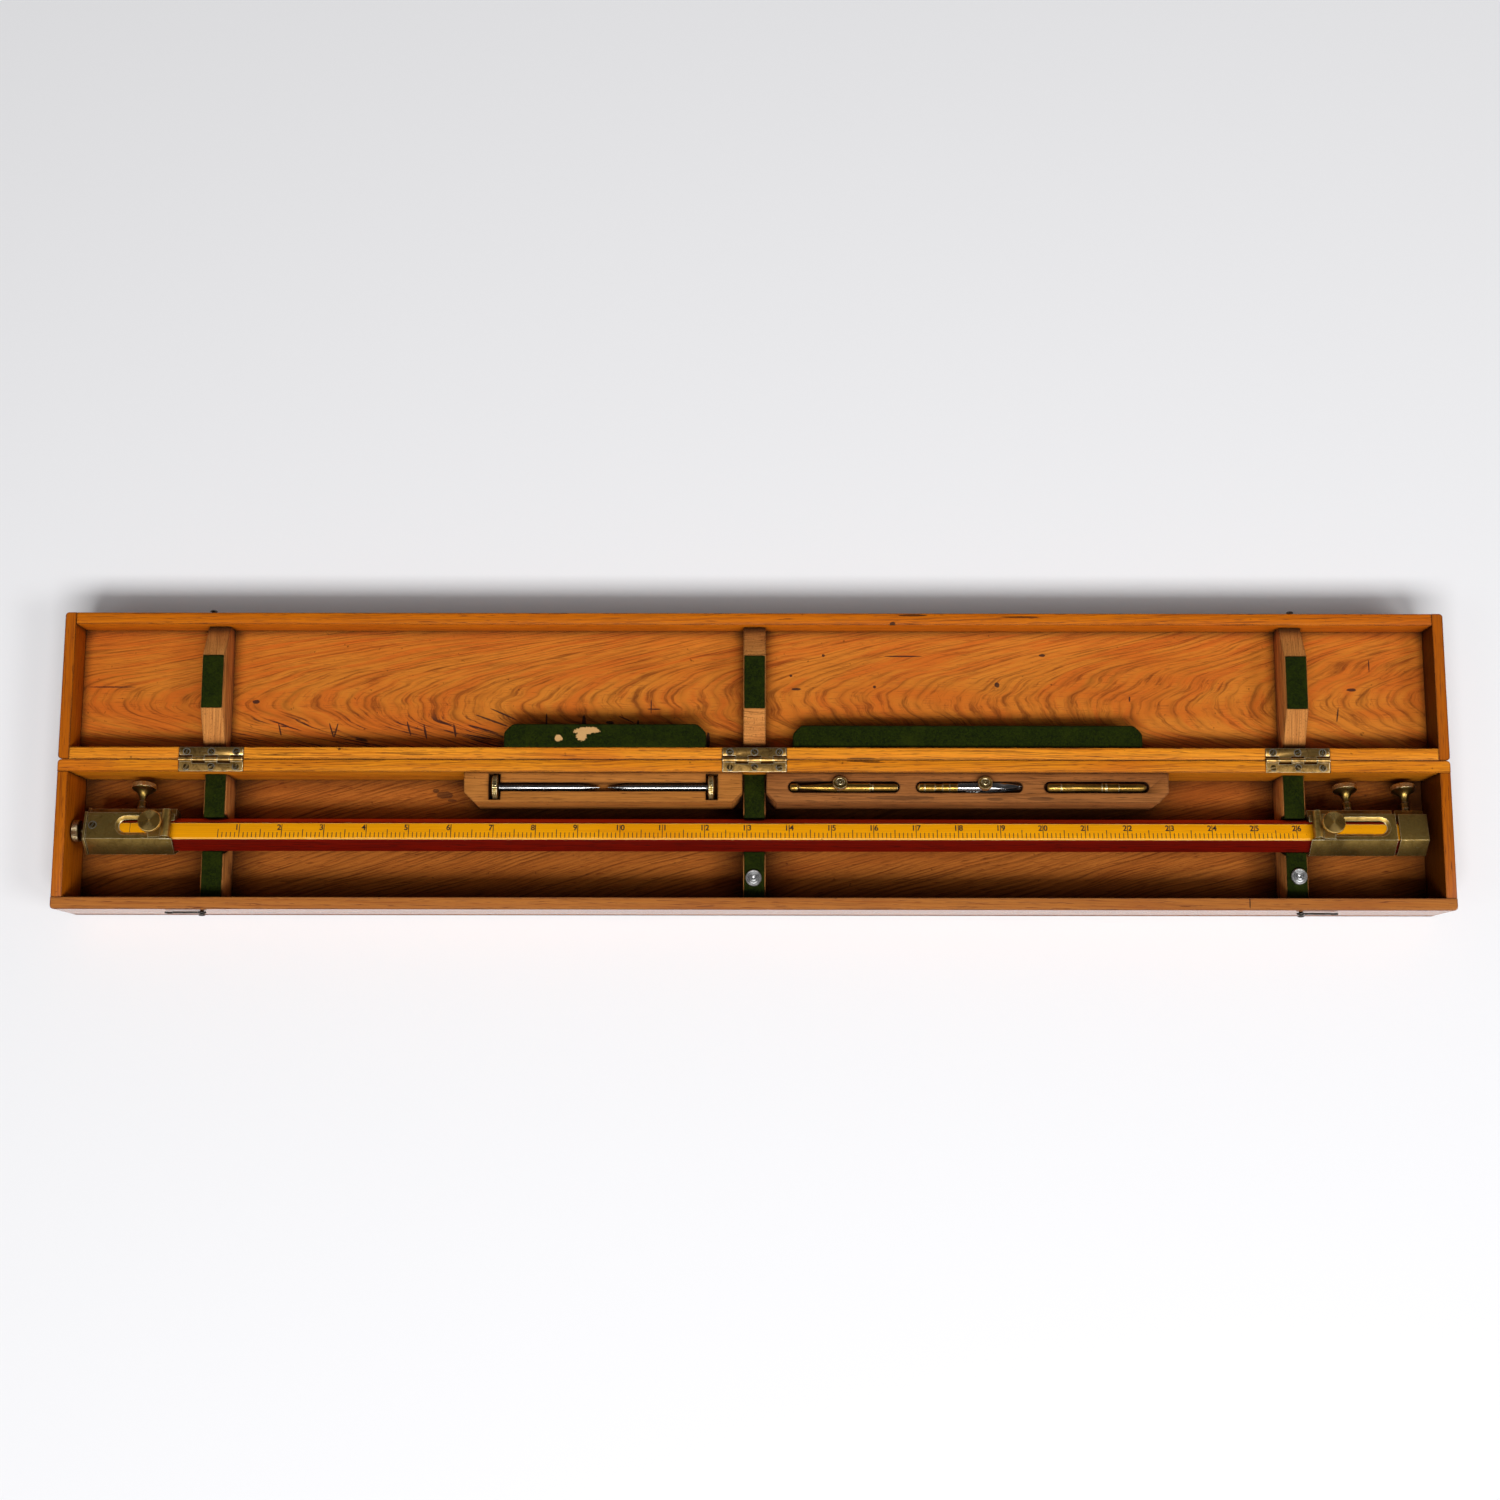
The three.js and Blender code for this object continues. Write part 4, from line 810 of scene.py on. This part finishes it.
def makePads():
    for side, material in pads["pieces"].items():
        shape = cadCopy(f"lid_pad_{side}")
        upright = [e for e in shape.edges if abs(e.verts[0].co.z - e.verts[1].co.z) > 3]
        bevelled(shape, upright, pads["corner"], 4)
        soften(shape, pads["rim"], 4, 60)
        for place in pads["cutsX"]:
            cutAt(shape, (place, 0, 0), (1, 0, 0))
        for place in pads["cutsY"]:
            cutAt(shape, (0, place, 0), (0, 1, 0))
        fuzz(shape, pads["nap"], pads["seed"])
        piece = dress(f"lid_pad_{side}", shape, material, "lid", 50)


makeFelts()
makeLidFelts()
makePads()
print("felt ready")


# slot is its width, below the depth of the cone, rim the ring round the head, low and floor heights; the
# rim and the shallow slot are painted dark as shade
hingeScrew = dict(radius=2.0, dome=0.12, slot=0.5, below=0.5, rim=0.3, low=0.01, floor=0.014, steps=28)


# A countersunk head with a straight slot along X; the slot and the rim round it take the second material,
# a dark one that paints the shade of a deep slot and of the gap round the head
def slottedHead(radius, dome, slot, below, rim, low, floor, steps):
    outline = [(0, -below), (radius * 0.6, -below), (radius + rim, 0), (radius + rim, low), (radius, low),
               (radius * 0.82, dome * 0.55), (radius * 0.5, dome * 0.87), (radius * 0.2, dome), (0, dome)]
    shape = lathe(outline, steps)
    for side in (-1, 1):
        cutAt(shape, (0, side * slot / 2, 0), (0, 1, 0))
    inSlot = []
    for f in shape.faces:
        middle = f.calc_center_median()
        f.material_index = int(abs(middle.z - low) < 0.002)
        if abs(middle.y) < slot / 2 and middle.z > floor:
            inSlot.append(f)
    made = bmesh.ops.extrude_face_region(shape, geom=inSlot)["geom"]
    bmesh.ops.delete(shape, geom=inSlot, context="FACES_ONLY")
    for g in made:
        if isinstance(g, bmesh.types.BMVert):
            g.co.z = floor
        elif isinstance(g, bmesh.types.BMFace):
            g.material_index = 1
    return shape


# axis is the pin's y and z; worn is how far the barrel is scaled down; screws stand at x, out and top
hinges = dict(
    axis=(0, 43.15), barrel=2.25, worn=0.66, edge=0.15, x=(-14.8, 0, 15), out=4.6, top=43.0,
    turns=(25, 80, -40, 10, 140, 60), leaves=dict(box=("case", -1), lid=("lid", 1)))


def makeHinges():
    y, z = hinges["axis"]
    for i, (side, x) in enumerate(rowX.items()):
        for leaf, (body, way) in hinges["leaves"].items():
            node = f"hinge_{leaf}_leaf_{side}"
            shape = cadCopy(node)
            barrel = [v for v in shape.verts if (v.co.yz - Vector((y, z))).length < hinges["barrel"]]
            narrow = (1, hinges["worn"], hinges["worn"])
            bmesh.ops.scale(shape, vec=narrow, verts=barrel, space=shift((0, -y, -z)))
            dress(node, soften(shape, hinges["edge"], 2, 50, 3), hingeBrass, body, smooth=30)
            heads = []
            for k, offset in enumerate(hinges["x"]):
                turn = spun(hinges["turns"][(k + 2 * i + way) % 6], "Z")
                place = shift((x + offset, way * hinges["out"], hinges["top"]))
                heads.append(moved(slottedHead(**hingeScrew), place @ turn))
            # The dark steel on the slots and rims paints their shade
            finish(f"hinge_screws_{leaf}_{side}", joined(*heads), [screwBrass, darkSteel], body)


# eye, reach and throat are the eye's radius, how far the bend is and its radius; sides have an x and a way
hooks = dict(
    wire=0.62, eye=2.0, neck=3.2, sag=0.25, step=1.75, reach=19.5, throat=2.3, y=-91.25, z=32.0,
    sides=dict(left=(-330.3, -1), right=(327.5, 1)))
# Body, y, z and turn of the pins the hooks turn on and catch
pins = dict(
    outline=[(0, -5), (1.1, -5), (1.1, 2.2), (2.2, 2.2), (2.2, 2.55), (1.7, 3.05), (0.9, 3.2), (0, 3.2)],
    steps=28, pieces=dict(hook_screw=("case", -90.15, 32.0, 90), catch_pin=("lid", 90.15, 34.8, -90)))


# The middle of a hook's wire, as distances out and up from its screw
def hookLine():
    size = hooks
    line = []
    for k in range(19):  # the eye, nearly a whole turn
        a = radians(20 + k * 18.5)
        line.append((size["eye"] * cos(a), size["eye"] * sin(a)))
    line.append((size["neck"], -size["sag"]))
    for k in range(1, 9):
        line.append((size["neck"] + k * size["step"], size["sag"] * sin(k)))
    for k in range(9):  # the bend
        a = pi + k * pi / 8
        line.append((size["reach"] + size["throat"] * cos(a), size["throat"] * sin(a)))
    return line


def makeHooks():
    line = hookLine()
    for side, (x, way) in hooks["sides"].items():
        data = bpy.data.curves.new("hook", "CURVE")
        data.dimensions = "3D"
        data.bevel_depth = hooks["wire"]
        data.bevel_resolution = 3
        data.use_fill_caps = True
        spline = data.splines.new("POLY")
        spline.points.add(len(line) - 1)
        for point, (out, up) in zip(spline.points, line):
            point.co = (x + way * out, hooks["y"], hooks["z"] + up, 1)
        shape = bmesh.new()
        shape.from_mesh(meshOf(data))
        bmesh.ops.remove_doubles(shape, verts=shape.verts, dist=0.001)
        bmesh.ops.recalc_face_normals(shape, faces=shape.faces)
        dress(f"hook_{side}", shape, darkSteel, f"{side}_hook", 60)
        for name, (body, y, z, turn) in pins["pieces"].items():
            pin = moved(lathe(pins["outline"], pins["steps"]), shift((x, y, z)) @ spun(turn, "X"))
            dress(f"{name}_{side}", pin, darkSteel, body, 35)


makeHinges()
makeHooks()
print("fittings ready")


# A thin bar on the beam, proud of height w by lift
def mark(x, v, w, width, lift):
    return box((x - width / 2, x + width / 2), v, (w - 0.01, w + lift))


# Lines and figures in mm along the beam; marks are counted in tenths of an inch from zero
scale = dict(
    inch=25.4, zero=-334.4, marks=(5, 260), front=-4.8, top=9.007, width=0.48, lift=0.03, short=3.3,
    half=5.2, whole=8.3, index=-374.8, indexWidth=0.3, indexV=(-4.8, 4.2), numbers=26, size=4.9,
    thick=0.015, weight=0.12, gap=0.35)


def makeBeam():
    dress("beam_bar", soften(cadCopy("beam_bar"), 0.35, 3, 28, 3), woods["beam"], "beam")
    strip = soften(cadCopy("scale_strip"), 0.25, 2, 28, 0.6)
    dress("scale_strip", strip, woods["strip"], "beam")


def digitMesh(text, x, align):
    data = bpy.data.curves.new("letter", "FONT")
    data.body = text
    data.size = scale["size"]
    data.align_x = align
    data.extrude = scale["thick"]
    data.offset = scale["weight"]
    mesh = meshOf(data)
    mesh.transform(shift((x, 0, scale["top"] + 0.01)))
    return mesh


def makeScale():
    zero, inch, front, top = (scale[k] for k in ("zero", "inch", "front", "top"))
    width, lift = scale["width"], scale["lift"]
    first, last = scale["marks"]
    ticks = [mark(scale["index"], scale["indexV"], top, scale["indexWidth"], lift)]
    for k in range(first, last + 1):
        length = scale["whole" if k % 10 == 0 else "half" if k % 5 == 0 else "short"]
        ticks.append(mark(zero + k * inch / 10, (front, front + length), top, width, lift))
    finish("scale_ticks", moved(joined(*ticks), beamFrame), ink, "beam")
    numbers = bmesh.new()
    for n in range(1, scale["numbers"] + 1):
        # The inch line runs between two digits, or just right of a single one
        for k, digit in enumerate(str(n)):
            x = zero + n * inch + (scale["gap"] if k else -scale["gap"])
            numbers.from_mesh(digitMesh(digit, x, "LEFT" if k else "RIGHT"))
    bmesh.ops.remove_doubles(numbers, verts=numbers.verts, dist=0.0005)
    finish("scale_numbers", moved(numbers, beamFrame), ink, "beam")


makeBeam()
makeScale()
print("beam ready")


# Turned pieces: outline of radius and height, steps round, and the rim's low, high, radius and tooth depth
discScrew = dict(
    outline=[(0, 9.36), (1.2, 9.36), (1.2, 12.76), (2.4, 12.76), (2.6, 12.96), (2.6, 16.16), (2.9, 16.86),
    (3.7, 17.31), (6.45, 17.36), (6.9, 17.76), (6.9, 19.51), (6.5, 19.9), (6.0, 19.96), (0.55, 19.96),
    (0.45, 19.84), (0, 19.76)], steps=112, rim=(17.71, 19.56, 6.9, 0.16))
clampScrew = dict(
    outline=[(1.8, 15.1), (2.55, 15.1), (2.8, 15.35), (2.8, 16.6), (2.6, 16.8), (2.6, 17.2), (2.8, 17.4),
    (2.8, 20.8), (2.5, 21.1), (1.9, 21.6), (1.95, 22.6), (2.2, 23.8), (2.55, 24.8), (3.0, 25.7),
    (3.6, 26.6), (4.5, 27.5), (5.6, 28.3), (6.8, 28.95), (7.3, 29.5), (7.3, 32.0), (6.95, 32.35),
    (6.4, 32.5), (0, 32.5)], steps=112, rim=(29.4, 32.1, 7.3, 0.18), stem=1.8)
adjustingScrew = dict(
    outline=[(0, -410.9), (6.1, -410.9), (6.7, -410.4), (6.7, -407.4), (6.2, -406.9), (3.2, -406.9),
    (2.2, -406.5), (1.5, -405.8), (1.5, -404.0), (2.35, -404.0), (2.6, -403.75), (2.6, -402.7),
    (2.4, -402.5), (1.5, -402.5), (1.5, -400.3), (2.6, -400.3), (2.6, -398.8), (1.5, -398.8),
    (1.5, -375.2), (1.1, -374.8), (0, -374.8)], steps=104, rim=(-410.5, -407.3, 6.7, 0.16), v=2, w=1)
# The discs carry a painted reflection: a fan of painted sheen brightest along Y, the disc painted darker
# at the sides
discLook = dict(
    turnedBrass, base=(226, 174, 88), tarnish=(190, 142, 66), rough=0.26, bright=(250, 206, 122), cut=2.6,
    depth=0.02, pitch=0.4, paintedSheen=(0.4, 0.96), deep=0, scratch=0.1)
# x of the disc and of the clamp on each head; where the discs stand; how bodies and sockets are rounded
heads = dict(
    sides=dict(left=(-360.5, -371.9), right=(345.9, 360.4)), line=1.9, top=18, tip=13.2,
    head_body=(0.28, 2, 30), socket=(0.12, 2, 40))
endBlock = dict(clamp=395.95, tip=10.8, block=(0.32, 2, 30, 1.2), plate=(0.2, 2, 30, 1.2))
plateScrew = dict(hingeScrew, radius=2.3, dome=0.3, below=0.2)
plateScrewPlace = dict(middle=(-396.9, 2.3, 11.0), turn=60)
# bar is the height of the marks' foot, their width and their thickness
vernier = dict(
    start=353.3, step=1.143, count=16, v=(-3.9, -2.5), longV=(-3.9, -2.1), bar=(10.96, 0.09, 0.02))


def makeClamp(node, x, tip, body):
    shape = knurled(clampScrew, [(0, tip), (clampScrew["stem"], tip)])
    dress(node, moved(shape, beamFrame @ shift((x, 0, 0)) @ towardsBack), knobBrass, body)


def makeHeads():
    for side, (x, clampX) in heads["sides"].items():
        head = f"{side}_head"
        middle = beamFrame @ Vector((x, heads["line"], heads["top"]))
        look = dict(discLook, axis=(tuple(middle), (-beamPlace["tilt"], 0, 0)))
        dress(f"{side}_socket_screw", moved(knurled(discScrew), beamFrame @ shift((x, heads["line"], 0))),
              metalFinish(f"disc_brass_{side}", look), f"{side}_disc")
        makeClamp(f"{side}_clamp_screw", clampX, heads["tip"], f"{side}_clamp")
        for part in ("head_body", "socket"):
            node = f"{side}_{part}"
            dress(node, soften(cadCopy(node, 0), *heads[part]), plateBrass, head)
        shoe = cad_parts[f"{side}_shoe"].data.materials
        shoe.clear()
        shoe.append(plateBrass)
    makeClamp("end_block_screw", endBlock["clamp"], endBlock["tip"], "end_clamp")
    dress("end_block", soften(cadCopy("end_block"), *endBlock["block"]), plateBrass, "end_stop")
    dress("left_end_plate", soften(cadCopy("left_end_plate"), *endBlock["plate"]), plateBrass, "left_head")
    place = beamFrame @ shift((0, adjustingScrew["v"], adjustingScrew["w"])) @ towardsRight
    dress("adjusting_screw", moved(knurled(adjustingScrew), place), knobBrass, "left_adjuster")
    place = beamFrame @ shift(plateScrewPlace["middle"]) @ spun(plateScrewPlace["turn"], "Z")
    screw = moved(slottedHead(**plateScrew), place)
    # The dark steel on the slot and rim paints their shade
    finish("left_plate_screw", screw, [screwBrass, darkSteel], "left_head")
    ticks = []
    for k in range(vernier["count"]):
        v = vernier["v" if k % 5 else "longV"]
        ticks.append(mark(vernier["start"] + k * vernier["step"], v, *vernier["bar"]))
    finish("vernier_ticks", moved(joined(*ticks), beamFrame), darkSteel, "right_head")


makeHeads()
print("heads ready")


# The outline runs from the knob to the tip, with grooves on the right point between them
points = dict(
    line=-16.1, axis=37.4, sides=dict(left=(-157.3, towardsRight, 0), right=(-23.8, towardsLeft, 6)),
    knob=[(0, 0), (6.6, 0), (7.25, 0.35), (7.6, 0.8), (7.6, 3.2), (7.2, 3.6), (6.6, 3.9), (3.0, 3.9),
    (2.3, 4.2), (2.1, 4.7)],
    outline=[(2.1, 52.45), (1.6, 55.6), (1.05, 59.2), (0.5, 62.6), (0.25, 64.3), (0, 64.45)],
    groove=[(2.1, 7), (1.96, 7.12), (1.96, 7.3), (2.1, 7.42)], pitch=2.1, brassBelow=4.0,
    steps=96, rim=(0.75, 3.25, 7.6, 0.14))


def makePoints():
    for side, (x, way, grooves) in points["sides"].items():
        threads = [(r, h + k * points["pitch"]) for k in range(grooves) for r, h in points["groove"]]
        shape = knurled(points, points["knob"] + threads)
        for f in shape.faces:
            f.material_index = int(f.calc_center_median().z >= points["brassBelow"])
        place = shift((x, points["line"], points["axis"])) @ way
        dress(f"needle_point_{side}", moved(shape, place), [knobBrass, steel], f"{side}_point")


# The pens lie rolled in their slots; turned ones have a node or a name, a body, an x and an outline
pens = dict(axis=38.8, roll=-22, steps=40, turned=dict(
    pencil_holder_look=("pencil_holder", "holder", 21.35, [
        (0, 0), (1.4, 0.1), (2.2, 0.6), (2.5, 1.2), (2.5, 4.6), (2.2, 5.0), (1.3, 6.2), (1.55, 10),
        (2.0, 15), (2.47, 19.6), (2.5, 20.4), (2.9, 26.1), (2.9, 29.0), (2.7, 29.2), (2.7, 29.8),
        (2.9, 30.0), (2.9, 48.3), (2.44, 48.6), (2.44, 49.6), (2.3, 49.8), (2.3, 50.2), (2.44, 50.4),
        (2.44, 63.3), (1.9, 65.0), (1.0, 65.3), (0, 65.3)]),
    ruling_pen_shank=(None, "pen", 98.2, [
        (0, 0), (1.6, 0), (2.1, 0.4), (2.7, 1.3), (2.7, 4.0), (2.5, 4.2), (2.5, 4.6), (2.7, 4.8),
        (2.7, 10.3), (2.32, 10.8), (2.32, 14.8), (2.7, 15.3), (2.7, 19.0), (2.5, 19.3), (2.7, 19.6),
        (2.7, 24.0), (2.3, 24.6), (0, 24.6)]),
    spare_holder_look=("spare_holder", "spare", 176.1, [
        (0, 0), (1.7, 0), (2.2, 0.3), (2.76, 1.2), (2.76, 8), (2.6, 8.2), (2.6, 8.6), (2.76, 8.8),
        (2.76, 16.6), (2.55, 17), (2.55, 32.6), (2.9, 33.1), (2.9, 35.0), (2.7, 35.2), (2.7, 35.6),
        (2.9, 35.8), (2.9, 42.8), (2.6, 43.2), (2.6, 56.0), (2.3, 57.6), (1.9, 58.6), (1.05, 59.6),
        (0, 59.6)])))
penKnobs = dict(
    outline=[(0, -2.9), (1.0, -2.9), (1.0, 3.0), (1.5, 3.4), (4.1, 3.4), (4.4, 3.7), (4.4, 5.6),
    (4.05, 6.05), (3.5, 6.3), (2.6, 6.4), (2.4, 6.25), (1.7, 6.2), (1.5, 6.4), (0.5, 6.4), (0.35, 6.2),
    (0, 6.15)], steps=80, rim=(3.65, 5.65, 4.4, 0.16),
    pieces=dict(pencil_holder_knob=("holder_knob", 51.6), ruling_pen_knob=("pen_knob", 138.6)))
blades = dict(start=122.7, edge=(0.12, 2, 45, 1.0))


def penPlace(x):
    return shift((x, points["line"], pens["axis"])) @ spun(pens["roll"], "X")


def makeTurned(name):
    node, body, x, outline = pens["turned"][name]
    shape = moved(lathe(outline, pens["steps"]), penPlace(x) @ towardsRight)
    finish(name, shape, penBrass, body, node)


def makePenKnob(node):
    body, x = penKnobs["pieces"][node]
    dress(node, moved(knurled(penKnobs), penPlace(x)), penBrass, body)


def makeBlades():
    shape = cadCopy("ruling_pen")
    cutAt(shape, (blades["start"], 0, 0), (1, 0, 0), clear_inner=True)
    bmesh.ops.edgeloop_fill(shape, edges=[e for e in shape.edges if e.is_boundary])
    finish("ruling_pen_blades", soften(shape, *blades["edge"]), steel, "pen", "ruling_pen")


# The centre discs carry the same painted fan of sheen
discs = dict(
    outline=[(0, 0), (4.5, 0), (4.85, 0.3), (4.85, 2.0), (4.5, 2.4), (4.0, 2.4), (3.9, 1.9), (3.5, 1.9),
    (3.4, 2.3), (2.6, 2.35), (2.5, 1.8), (2.1, 1.8), (2.0, 2.35), (1.25, 2.4), (1.1, 1.2), (0, 0.6)],
    steps=64, z=31.0,
    pieces=dict(middle=(-0.2, -70.2, "middle_disc"), right=(327.4, -68.95, "right_centre")),
    look=dict(steelLook, cut=3.0, pitch=0.45, depth=0.02, rough=0.3, paintedSheen=(0.3, 1.0)))


def makeDiscs():
    for side, (x, y, body) in discs["pieces"].items():
        look = dict(discs["look"], axis=((x, y, 33), (0, 0, 0)))
        shape = moved(lathe(discs["outline"], discs["steps"]), shift((x, y, discs["z"])))
        dress(f"centre_disc_{side}", shape, metalFinish(f"centre_steel_{side}", look), body)


makePoints()
makeTurned("pencil_holder_look")
makePenKnob("pencil_holder_knob")
makeTurned("ruling_pen_shank")
makeBlades()
makePenKnob("ruling_pen_knob")
makeTurned("spare_holder_look")
makeDiscs()
print("points and pens ready")
